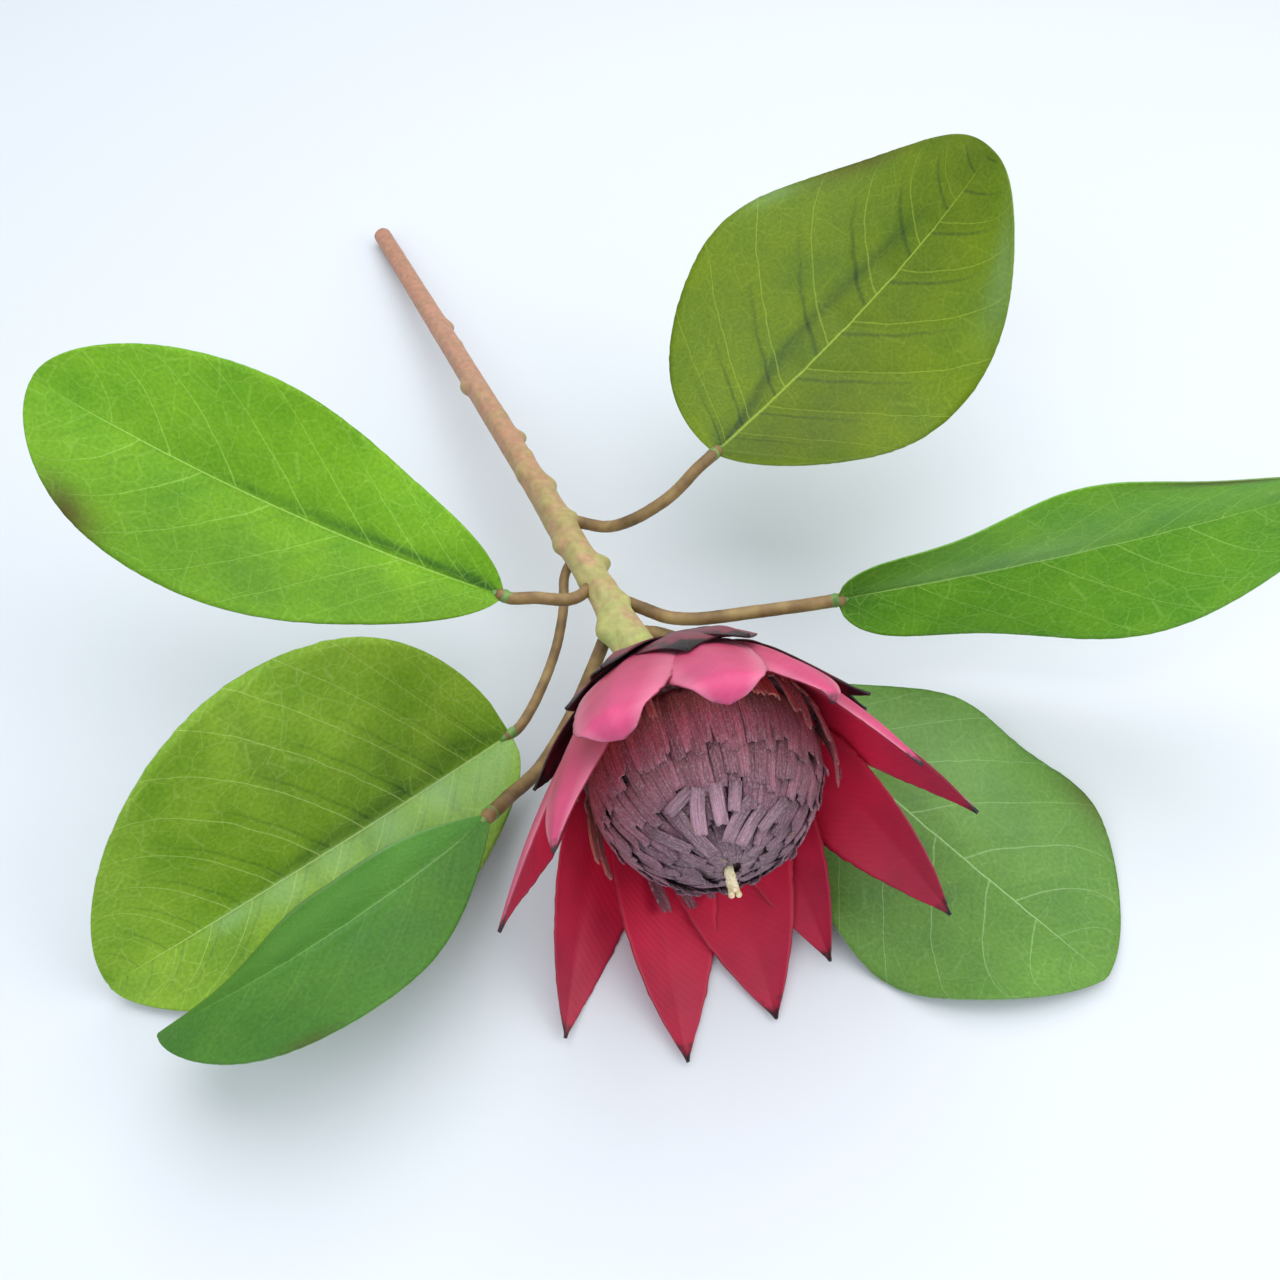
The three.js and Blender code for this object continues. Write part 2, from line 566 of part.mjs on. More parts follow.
// A bract leaves the neck, hugs a ball round the dome up to the point where the straight way to its tip
// touches that ball, and runs on to the tip; its section is curved like the cup at its root and folds
// towards the tip.
function bract({ front, out, clock, width, layer }, radius, rootAngle, rows, curl, columns = [-1, -0.5, 0, 0.5, 1]) {
  const ball = radius + layer * 0.85;
  const reach = Math.hypot(front, out);
  const tipAngle = Math.atan2(out, front);
  const touch = tipAngle + Math.acos(ball / reach); // angle from the front axis to the touching point
  const hug = (Math.PI - rad(rootAngle)) - touch;
  const straight = Math.sqrt(reach * reach - ball * ball);
  const total = ball * hug + straight;
  const lean = touch - Math.PI / 2; // angle of the straight run from the head's axis
  const grid = [];
  for (let i = 0; i <= rows; i += 1) {
    const u = i / rows;
    const d = u * total;
    let centre;
    let run;
    if (d < ball * hug) {
      const a = Math.PI - rad(rootAngle) - d / ball;
      centre = [ball * Math.sin(a), ball * Math.cos(a)];
      run = a - Math.PI / 2;
    } else {
      const e = d - ball * hug;
      const bow = curl * (e / straight) * (1 - e / straight) * 4;
      const base = [ball * Math.sin(touch), ball * Math.cos(touch)];
      centre = [
        base[0] + e * Math.sin(lean) - bow * Math.cos(lean),
        base[1] + e * Math.cos(lean) + bow * Math.sin(lean),
      ];
      run = lean + curl * 4 * (1 - 2 * e / straight) / straight * -1;
    }
    const taper = 1 - Math.max(0, (u - 0.5) / 0.5) ** 1.6;
    const w = Math.max(width * Math.min(1, 0.46 + 1.25 * u) * taper, 1.4);
    const bend = mix(ball, ball * 0.62, u ** 2); // section radius: tighter towards the tip
    const outward = [Math.cos(run), -Math.sin(run)];
    const row = [];
    for (const v of columns) {
      const a = (v * w) / 2 / bend;
      const across = bend * Math.sin(a);
      const drop = bend * (1 - Math.cos(a)) + 0.8 * u * Math.abs(v);
      const r = centre[0] - drop * outward[0];
      const z = centre[1] - drop * outward[1];
      const c = rad(clock);
      row.push(V(
        r * Math.sin(c) + across * Math.cos(c),
        r * Math.cos(c) - across * Math.sin(c),
        z,
      ));
    }
    grid.push(row);
  }
  const solid = toSolid(plate(grid, BRACT));
  return solid.volume() < 0 ? toSolid(plate(grid.map((row) => row.slice().reverse()), BRACT)) : solid;
}

{
  const cup = latheSolid([
    ...arc(CUP_OUTER_RADIUS, 180, 151, 10).map(([x, y], i) => (i === 0 ? [0, y] : [x, y])),
    ...arc(CUP_INNER_RADIUS, 151, 180, 10).map(([x, y], i, all) => (i === all.length - 1 ? [0, y] : [x, y])),
  ], 14);
  const pieces = [cup];
  for (const b of BRACTS) pieces.push(bract(b, 37.9, 24, 7, -2.2));
  addMesh('inner_bracts', toGeometry(union(pieces)), COLOURS.bract, 0.65, head);

  const calyx = latheSolid([
    ...arc(CALYX_OUTER_RADIUS, 180, 157, 8).map(([x, y], i) => (i === 0 ? [0, y] : [x, y])),
    ...arc(CALYX_INNER_RADIUS, 157, 180, 8).map(([x, y], i, all) => (i === all.length - 1 ? [0, y] : [x, y])),
  ], 14);
  const outer = [calyx];
  for (const b of OUTER_BRACTS) outer.push(bract(b, 40.7, 17, 5, -1.2, [-1, 0, 1]));
  addMesh('outer_bracts', toGeometry(union(outer)), COLOURS.outerBract, 0.7, head);
}

export default root;
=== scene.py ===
# %% [markdown]
# # A protea flower on a cut stem, made of cloth and moulded plastic
#
# The real object is an artificial flower that lies on a table. A moulded stem carries a round head: a dome
# of flat felt strips inside a ring of pointed crimson bracts, with shorter dark bracts behind them. Six
# broad leaves of printed cloth sit on bent, coated wires.
#
# The solids come from the CAD frame. Each piece below is a finer surface in the place of one of those
# solids, worked out from the same sizes. All sizes are in millimetres until the last step, which turns them
# to metres.

# %% The frame
import math
from functools import partial

import bpy
import numpy as np
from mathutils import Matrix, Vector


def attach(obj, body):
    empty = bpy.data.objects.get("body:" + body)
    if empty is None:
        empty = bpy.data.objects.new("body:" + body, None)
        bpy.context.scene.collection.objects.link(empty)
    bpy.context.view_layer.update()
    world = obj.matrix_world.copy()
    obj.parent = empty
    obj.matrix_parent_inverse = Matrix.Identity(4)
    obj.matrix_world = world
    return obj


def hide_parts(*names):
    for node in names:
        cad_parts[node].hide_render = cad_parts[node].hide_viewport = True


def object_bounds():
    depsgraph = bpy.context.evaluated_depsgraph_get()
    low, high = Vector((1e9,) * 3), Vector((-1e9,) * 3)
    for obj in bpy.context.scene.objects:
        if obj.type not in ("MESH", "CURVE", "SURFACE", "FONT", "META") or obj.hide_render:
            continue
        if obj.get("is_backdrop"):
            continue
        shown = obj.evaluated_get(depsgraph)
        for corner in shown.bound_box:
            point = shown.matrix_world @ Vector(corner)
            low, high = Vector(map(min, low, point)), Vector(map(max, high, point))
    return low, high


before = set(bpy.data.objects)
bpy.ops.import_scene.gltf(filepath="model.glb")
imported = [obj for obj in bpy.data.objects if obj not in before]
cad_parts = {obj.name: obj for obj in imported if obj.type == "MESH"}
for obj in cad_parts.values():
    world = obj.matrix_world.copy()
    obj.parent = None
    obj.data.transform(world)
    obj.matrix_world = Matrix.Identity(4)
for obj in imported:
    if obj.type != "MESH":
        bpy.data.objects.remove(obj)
cad_low, cad_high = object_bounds()
LAYOUT_ORIGIN = np.array([14.0, 312.4, 0.0])  # layout point (mm) that the CAD frame has as its origin
print("CAD nodes:", len(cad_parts), "box", [round(c, 3) for c in (*cad_low, *cad_high)])

# %% [markdown]
# ## Colours
#
# A colour that is picked from a picture is an sRGB value, and shaders work in linear light. One function
# turns the first into the second, so that every colour below can be written the way it looks.

# %% Colours
def linear(hex_colour, alpha=1.0):
    """sRGB "#rrggbb" to linear: below 0.04045 divide by 12.92, above it ((c + 0.055) / 1.055) ** 2.4."""
    c = np.array([int(hex_colour[i : i + 2], 16) for i in (1, 3, 5)]) / 255
    c = np.where(c <= 0.04045, c / 12.92, ((c + 0.055) / 1.055) ** 2.4)
    return (*c.tolist(), alpha)


print("mid crimson in linear light:", [round(c, 3) for c in linear("#B8213F")])

# %% [markdown]
# ## Camera, table and light
#
# The photograph was taken from above the head, tilted down by 53 degrees, with a phone's wide lens. The
# camera's place follows from where the leaves and the stem stand on the table. The set is a plain pale
# table top under big soft lights, which gives high-key, nearly shadowless pictures. A large sheet of light
# behind and above the flower draws the soft shadows towards the viewer.

# %% Camera, table and light
CAMERA_AT = (-0.014, -0.3124, 0.367)
CAMERA_TILT = 53.0  # degrees below the horizon
scene = bpy.context.scene
camera = bpy.data.objects.new("camera", bpy.data.cameras.new("camera"))
camera.data.sensor_width = 36.0
camera.data.lens = 36.0
camera.location = CAMERA_AT
camera.rotation_euler = (math.radians(90 - CAMERA_TILT), 0, 0)
scene.collection.objects.link(camera)
scene.camera = camera

LIGHT_AIM = (0.0, -0.05, 0.03)  # near the middle of the flower
LIGHTS = {
    # name: place, size, watts, colour
    "sky_panel": ((0.05, 0.34, 1.15), 1.6, 12.0, "#FFFFFF"),
    "front_fill": ((-0.65, -0.85, 0.95), 1.2, 6.0, "#F8FBFF"),
    "right_fill": ((0.95, -0.25, 0.8), 1.0, 5.5, "#FFFCF8"),
}
for light_name, (place, size, watts, tint) in LIGHTS.items():
    lamp = bpy.data.objects.new(light_name, bpy.data.lights.new(light_name, "AREA"))
    lamp.data.shape = "DISK"
    lamp.data.size = size
    lamp.data.energy = watts
    lamp.data.color = linear(tint)[:3]
    lamp.location = place
    x, y, z = np.array(LIGHT_AIM) - np.array(place)
    lamp.rotation_euler = (math.atan2(math.hypot(x, y), -z), 0, math.atan2(y, x) - math.pi / 2)
    scene.collection.objects.link(lamp)

world = bpy.data.worlds.new("pale_room")
world.use_nodes = True
background = world.node_tree.nodes["Background"]
background.inputs["Color"].default_value = linear("#EEF5FA")
background.inputs["Strength"].default_value = 0.58
scene.world = world
scene.view_settings.view_transform = "Standard"
print("lights:", list(LIGHTS))

# %% [markdown]
# ## One helper for shader nodes
#
# A procedural material is a small network of nodes. Writing each node's settings and wires on one line
# keeps the network readable, so one function adds any node. What comes out of a node is nearly always its
# main result, so a node can be wired in by its name alone. The scales of the patterns are real sizes in
# millimetres.

# %% Shader node helper
def fill(node, inputs):
    """Sets inputs, given by name or number, to a value, a "#rrggbb" colour, a socket, or a node, which stands
    for its Fac output if it has one and otherwise for the first output that is switched on."""
    for key, value in inputs.items():
        if isinstance(value, bpy.types.Node):
            value = value.outputs.get("Fac") or next(out for out in value.outputs if out.enabled)
        if isinstance(value, bpy.types.NodeSocket):
            node.id_data.links.new(value, node.inputs[key])
        else:
            node.inputs[key].default_value = linear(value) if isinstance(value, str) else value


def add_node(tree, kind, inputs=None, stops=None, **settings):
    """Adds a shader node of any kind with its settings, its inputs (see fill) and a colour ramp's stops."""
    made = tree.nodes.new("ShaderNode" + kind)
    for key, value in settings.items():
        setattr(made, key, value)
    fill(made, inputs or {})
    if stops:
        elements = made.color_ramp.elements
        while len(elements) < len(stops):
            elements.new(1.0)
        for element, (position, colour) in zip(elements, stops):
            element.position = position
            element.color = linear(colour)
    return made


def new_material(name):
    """A material with its Principled shader, and add_node for its own tree."""
    material = bpy.data.materials.new(name)
    material.use_nodes = True
    tree = material.node_tree
    return material, partial(add_node, tree), tree.nodes["Principled BSDF"]


def every(mm):
    """Scale of a pattern on coordinates in metres that has one patch for each so many millimetres."""
    return 1000 / mm

# %% The table top
TABLE_Z = -0.0009  # m, just under the lowest bract tip
table_material, node, shader = new_material("painted_table_top")
fill(shader, {"Base Color": "#D6DBE2", "Roughness": 0.55})
table_mesh = bpy.data.meshes.new("table_top")
corners = [(x, y, TABLE_Z) for x, y in ((-4, -4), (4, -4), (4, 4), (-4, 4))]
table_mesh.from_pydata(corners, [], [(0, 1, 2, 3)])
table_mesh.materials.append(table_material)
table_top = bpy.data.objects.new("table_top", table_mesh)
scene.collection.objects.link(table_top)
table_top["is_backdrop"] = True
print("table top 8 m wide, at", TABLE_Z, "m")

# %% [markdown]
# ## Surfaces from grids
#
# Every piece of this flower is a sheet (leaf, bract, strip) or a rod (stem, stalk). A sheet is a function
# of two parameters on a grid, given a thickness along its own normal. A rod is a ring carried along a path.
# numpy works out all the points at once, and two small functions turn a grid of points into the faces
# between them.

# %% Grids, sheets and rods
def grid_faces(rows, columns, wrap=False):
    """Quads between the points of a rows x columns grid; wrap joins the last column to the first."""
    i, j = np.meshgrid(np.arange(rows - 1), np.arange(columns if wrap else columns - 1), indexing="ij")
    k = (j + 1) % columns
    quads = np.stack([i * columns + j, (i + 1) * columns + j, (i + 1) * columns + k, i * columns + k], -1)
    return quads.reshape(-1, 4)


def sheet_faces(rows, columns):
    """Faces of a closed thin plate: the upper grid, the lower grid turned over, and the rim between them."""
    top = grid_faces(rows, columns)
    low = top[:, ::-1] + rows * columns
    edge = np.concatenate(
        [
            np.arange(rows - 1) * columns,
            (rows - 1) * columns + np.arange(columns - 1),
            np.arange(rows - 1, 0, -1) * columns + columns - 1,
            np.arange(columns - 1, 0, -1),
        ]
    )
    after = np.roll(edge, -1)
    rim = np.stack([edge, edge + rows * columns, after + rows * columns, after], -1)
    return np.concatenate([top, low, rim])


def is_smooth(rows, columns):
    """Which of a plate's faces are shaded smooth: the upper and the lower ones, and not the cut rim."""
    return np.arange(2 * rows * columns - 2) < 2 * (rows - 1) * (columns - 1)


def on_both(field):
    """A field on a sheet's grid, repeated for the upper and the lower points of its plate."""
    return np.tile(field.ravel(), 2)


def unit(vectors):
    """Each vector divided by its length."""
    return vectors / np.maximum(np.linalg.norm(vectors, axis=-1, keepdims=True), 1e-12)


def thicken(sheet, thickness):
    """Upper and lower points of a sheet: half the thickness to each side along its normal, across x along."""
    normal = unit(np.cross(np.gradient(sheet, axis=-2), np.gradient(sheet, axis=-3)))
    half = normal * np.asarray(thickness)[..., None] / 2
    return np.stack([sheet + half, sheet - half], axis=-4)


def outward(points, faces):
    """Turns all faces over if the closed shape that they make has a negative volume."""
    a, b, c = (points[faces[:, k]] for k in (0, 1, 2))
    volume = np.einsum("ij,ij->i", a, np.cross(b, c)).sum()
    if faces.shape[1] == 4:
        a, b, c = (points[faces[:, k]] for k in (0, 2, 3))
        volume += np.einsum("ij,ij->i", a, np.cross(b, c)).sum()
    return faces if volume > 0 else faces[:, ::-1]


def closed_rings(rings, poles):
    """Points and faces of rings that are joined by quads and closed by a fan from a pole at each end."""
    count, around = rings.shape[:2]
    k = np.arange(around)
    after = (k + 1) % around
    tail = (count - 1) * around
    first = np.full(around, count * around)
    front = np.stack([first, k, after, after], -1)
    back = np.stack([first + 1, tail + after, tail + k, tail + k], -1)
    points = np.concatenate([rings.reshape(-1, 3), poles])
    faces = outward(points, np.concatenate([grid_faces(count, around, wrap=True), front, back]))
    return points, [list(dict.fromkeys(face)) for face in faces.tolist()]  # a fan's faces are triangles


def make_piece(name, points, faces, material, stands_for, uv=None, attributes=None, smooth=None):
    """Puts layout points (mm) and faces into a mesh object on the root that stands for CAD nodes."""
    mesh = bpy.data.meshes.new(name)
    metres = (points - LAYOUT_ORIGIN) / 1000
    mesh.from_pydata(metres.tolist(), [], [list(f) for f in faces])
    mesh.polygons.foreach_set("use_smooth", np.ones(len(mesh.polygons), bool) if smooth is None else smooth)
    loops = np.zeros(len(mesh.loops), int)
    mesh.loops.foreach_get("vertex_index", loops)
    for layer, values in (uv or {}).items():
        mesh.uv_layers.new(name=layer).data.foreach_set("uv", values[loops].astype(np.float32).ravel())
    for layer, values in (attributes or {}).items():
        mesh.attributes.new(layer, "FLOAT", "POINT").data.foreach_set("value", values.astype(np.float32))
    mesh.materials.append(material)
    mesh.update()
    piece = bpy.data.objects.new(name, mesh)
    scene.collection.objects.link(piece)
    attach(piece, "root")
    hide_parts(*stands_for)
    return piece


print("a 3 x 3 plate has", len(sheet_faces(3, 3)), "faces")

# %% [markdown]
# ## Leaves: the shape
#
# Each leaf is one piece of polyester cloth, printed with veins, cut out and pressed hot over a mould, which
# leaves the blade waved and the side veins creased. The midrib is a wire that leaves the stalk in one
# direction and bends and twists on its way. The blade hangs on it: at each place along the midrib it
# reaches out to both sides by the leaf's half width, the two halves fold up a little, and the edge waves up
# and down. The grid's rows run slantwise, along the side veins, so that a crease is simply a row that is
# pressed in.

# %% Leaf sizes
LEAVES = {
    # base: the blade's foot (mm). heading (anticlockwise from the right) and climb: the way in which the
    # midrib leaves it. swerve and bend: how much these change by the tip. roll and twist: turn about the
    # midrib at the foot, and how much more by the tip. fold: how far each half stands up. All in degrees.
    # length and width: mm. peak: the widest place, as a share of the length. blunt and blunt_tip: powers
    # that shape the outline at the foot and at the tip, fuller when lower. right: the right half's width,
    # 1 when both are alike. wave (mm) and waves: height and number of the edge's waves. phase and shift
    # (radians): where they start, and how far ahead they are on the left. veins: on each side. crease (mm):
    # how deep they are pressed in. press: how far left of the midrib the fold is, in half widths.
    1: dict(
        base=(-44.9, 263.3, 41.8), heading=175.9, climb=24.2, bend=3.7, swerve=-15, roll=23.6, twist=24.6,
        length=155, width=75.8, peak=0.6, blunt=0.47, blunt_tip=0.54, right=0.99, fold=20.9, wave=5,
        waves=1.62, phase=1.6, shift=2.65, veins=9, crease=0.2, press=0.06,
    ),
    2: dict(
        base=(-42.2, 225.5, 17), heading=220, climb=0.65, bend=-11.1, swerve=-10, roll=30.4, twist=16,
        length=140.2, width=102.1, peak=0.45, blunt=0.56, blunt_tip=0.57, right=1.3, fold=26.8, wave=8.2,
        waves=1.77, phase=-0.44, shift=-1.63, veins=12, crease=0.32, press=0.06,
    ),
    3: dict(
        base=(-44.3, 186.2, 34.3), heading=232.7, climb=12, bend=-33.2, swerve=-33.7, roll=-4.5, twist=-35.6,
        length=110.1, width=63.9, peak=0.59, blunt=0.66, blunt_tip=0.66, right=1.11, fold=-17.8, wave=1.7,
        waves=1.65, phase=0.47, shift=1.2, veins=8, crease=0.18, press=0.06,
    ),
    4: dict(
        base=(25.3, 310.8, 59.6), heading=50.6, climb=-1.1, bend=63.7, swerve=-28.4, roll=-17.8, twist=17.1,
        length=141.9, width=106.7, peak=0.46, blunt=0.75, blunt_tip=0.48, right=0.88, fold=-4.7, wave=13.8,
        waves=0.91, phase=0.91, shift=3.9, veins=8, crease=0.42, press=0.22,
    ),
    5: dict(
        base=(64.2, 261.1, 42.1), heading=8.8, climb=4.5, bend=33.2, swerve=-18.3, roll=-73.6, twist=-33.5,
        length=154.8, width=78.5, peak=0.67, blunt=0.27, blunt_tip=0.58, right=0.98, fold=14.1, wave=4.3,
        waves=1.41, phase=2.37, shift=-2.45, veins=9, crease=0.25, press=0.06,
    ),
    6: dict(
        base=(47.2, 237.7, 16.9), heading=-39.6, climb=-16.6, bend=21.2, swerve=-9.3, roll=-12.3, twist=19.3,
        length=129.2, width=97.8, peak=0.57, blunt=0.43, blunt_tip=0.66, right=1.01, fold=1.3, wave=5.3,
        waves=2.18, phase=1.64, shift=2.16, veins=8, crease=0.4, press=0.06,
    ),
}
ROW_SLANT = 0.2  # how far the grid's rows run forward by the edge, as a share of the blade
VEIN_RUN = 0.17  # how much further forward the side veins run
MISPRINT = 0.24  # the creases lie this share of a vein step beside the printed veins
LEAF_THICKNESS = 0.5  # mm
GROOVE_DEPTH = 0.55  # mm, of the furrow in which the midrib lies
EDGE_FRAY = 0.0016  # share of the blade's half width by which its cut edge is uneven
print("leaf lengths (mm):", [leaf["length"] for leaf in LEAVES.values()])

# %% Leaf surface
def midrib_frames(leaf, steps=96):
    """Points, side and normal vectors along a midrib: heading and climb change evenly along it, the point
    moves on by length / steps each step, and side and normal are turned by the roll about the midrib."""
    u = np.linspace(0, 1, steps + 1)

    def direction(u):
        h = np.radians(leaf["heading"] + leaf["swerve"] * u)
        e = np.radians(leaf["climb"] + leaf["bend"] * u)
        return h, np.stack([np.cos(e) * np.cos(h), np.cos(e) * np.sin(h), np.sin(e)], -1)

    h, tangent = direction(u)
    steps_taken = direction(u[:-1] + 0.5 / steps)[1] * leaf["length"] / steps
    at = np.array(leaf["base"]) + np.concatenate([np.zeros((1, 3)), np.cumsum(steps_taken, 0)])
    flat = np.stack([np.sin(h), -np.cos(h), np.zeros_like(h)], -1)
    above = np.cross(flat, tangent)
    r = np.radians(leaf["roll"] + leaf["twist"] * u)[:, None]
    return u, at, flat * np.cos(r) + above * np.sin(r), above * np.cos(r) - flat * np.sin(r)


def half_width(leaf, u, v):
    """Half the blade's width: a sine hump whose top is moved to the leaf's widest place, made fuller by a
    power below 1, and shared out to the right and the left of the midrib."""
    hump = np.sin(np.pi * np.maximum(u, 1e-6) ** (math.log(0.5) / math.log(leaf["peak"])))
    power = leaf["blunt"] + (leaf["blunt_tip"] - leaf["blunt"]) * u
    full = leaf["width"] / 2 * np.maximum(hump, 0) ** power
    return np.maximum(full * np.where(v > 0, leaf["right"], 2 - leaf["right"]), 1.2)


def vein_place(x, v):
    """Place along the midrib where the side vein through (x, v) leaves it."""
    return x - VEIN_RUN * np.abs(v) * (1 - x)


def leaf_surface(leaf, seed, rows=117, columns=45):
    """Blade points for x along (0 foot, 1 tip) and v across (-1 left edge, 1 right edge), in layout mm."""
    x = np.linspace(0, 1, rows)[:, None] * np.ones(columns)
    spread = np.linspace(-1, 1, columns)[None, :] * np.ones((rows, 1))
    v = np.sign(spread) * np.abs(spread) ** 1.25
    s = x - 0.11 * np.sin(2 * np.pi * x) / 2
    u = np.minimum(s + ROW_SLANT * np.abs(v) ** 1.3 * 4 * s * (1 - s), 1)
    stations, *frames = midrib_frames(leaf)
    at, side, normal = (np.stack([np.interp(u, stations, f[:, k]) for k in range(3)], -1) for f in frames)
    side, normal = unit(side), unit(normal)
    random = np.random.default_rng(seed)
    fray = 1 + EDGE_FRAY * np.abs(v) ** 8 * np.interp(x, np.linspace(0, 1, rows), random.normal(0, 1, rows))
    width = half_width(leaf, u, v) * fray
    calm = np.sin(np.pi * u**0.7)
    turn = 2 * np.pi * leaf["waves"] * u + leaf["phase"] + np.where(v > 0, 0, leaf["shift"])
    pressed = v + leaf["press"] * np.sin(np.pi / 2 * np.clip(u / 0.45, 0, 1))  # across, from the pressed fold
    groove = GROOVE_DEPTH * np.exp(-((pressed / 0.06) ** 2)) * np.clip((0.95 - u) / 0.4, 0, 1)
    phase = vein_place(x, pressed) * leaf["veins"] + np.where(pressed < 0, 0.5, 0.0) + MISPRINT
    gap = np.abs((phase + 0.5) % 1 - 0.5)  # distance to the nearest crease, in vein steps
    crease = leaf["crease"] * (0.6 - 1.6 * np.exp(-((gap / 0.13) ** 2)))
    crease = crease * np.minimum(np.abs(pressed) / 0.08, 1)  # none on the midrib itself
    lift = leaf["wave"] * v**2 * calm * np.sin(turn) + crease * calm * np.exp(-((v / 0.72) ** 2)) - groove
    fold = math.radians(leaf["fold"])
    soft = 0.02 + 0.25 * np.clip((u - 0.6) / 0.4, 0, 1) ** 2  # the fold is sharp but for the tip
    folded = np.sqrt(v**2 + soft**2) - soft
    points = (
        at
        + side * (v * width * math.cos(fold))[..., None]
        + normal * (folded * width * math.sin(fold) + lift)[..., None]
    )
    return points, x, u, v, width, pressed


print("leaf 1 half width at mid length:", half_width(LEAVES[1], np.array(0.5), np.array(1.0)).round(1), "mm")

# %% [markdown]
# ## Leaves: the printed cloth
#
# Real leaves of this kind are woven polyester, printed and pressed. The eye gets three things from that: a
# green ground that drifts in tone, a pale net of veins that was printed and not grown, and the faint
# ribbing of the threads. The veins follow the blade, so the material reads two UV maps of the piece itself.
# One holds the grid's own parameters, in which a side vein is a straight line. The other holds real lengths
# in metres, for everything with a real size. Vertex attributes carry the brown blushes, which lie at
# particular places, and the painted light and shade: painted shade in the creases and by the midrib,
# stretches of a blade painted lighter or darker for the way they face the light, and painted sheen.

# %% Leaf cloth
THREAD_PITCH = 0.9  # mm. Real threads are about 0.35 mm apart, too fine to show, so they are drawn coarser
NET_MESH = 2.6  # mm, size of a mesh of the printed net of veins
BRANCH_MESH = 3 * NET_MESH  # the coarser branches between them
BAND = math.pi / 20  # wave texture scale that gives slanting bands one unit apart
TONE_DRIFT = 22  # mm, size of the drifts in the green
VEIN_WOBBLE = 12  # mm, length of the waves that keep a side vein from being ruler straight
PRINT_SPECK = 1.2  # mm, size of the specks of the print
VEIN_OFFSET = 0.44  # the first side vein leaves the midrib this share of a vein step from the foot


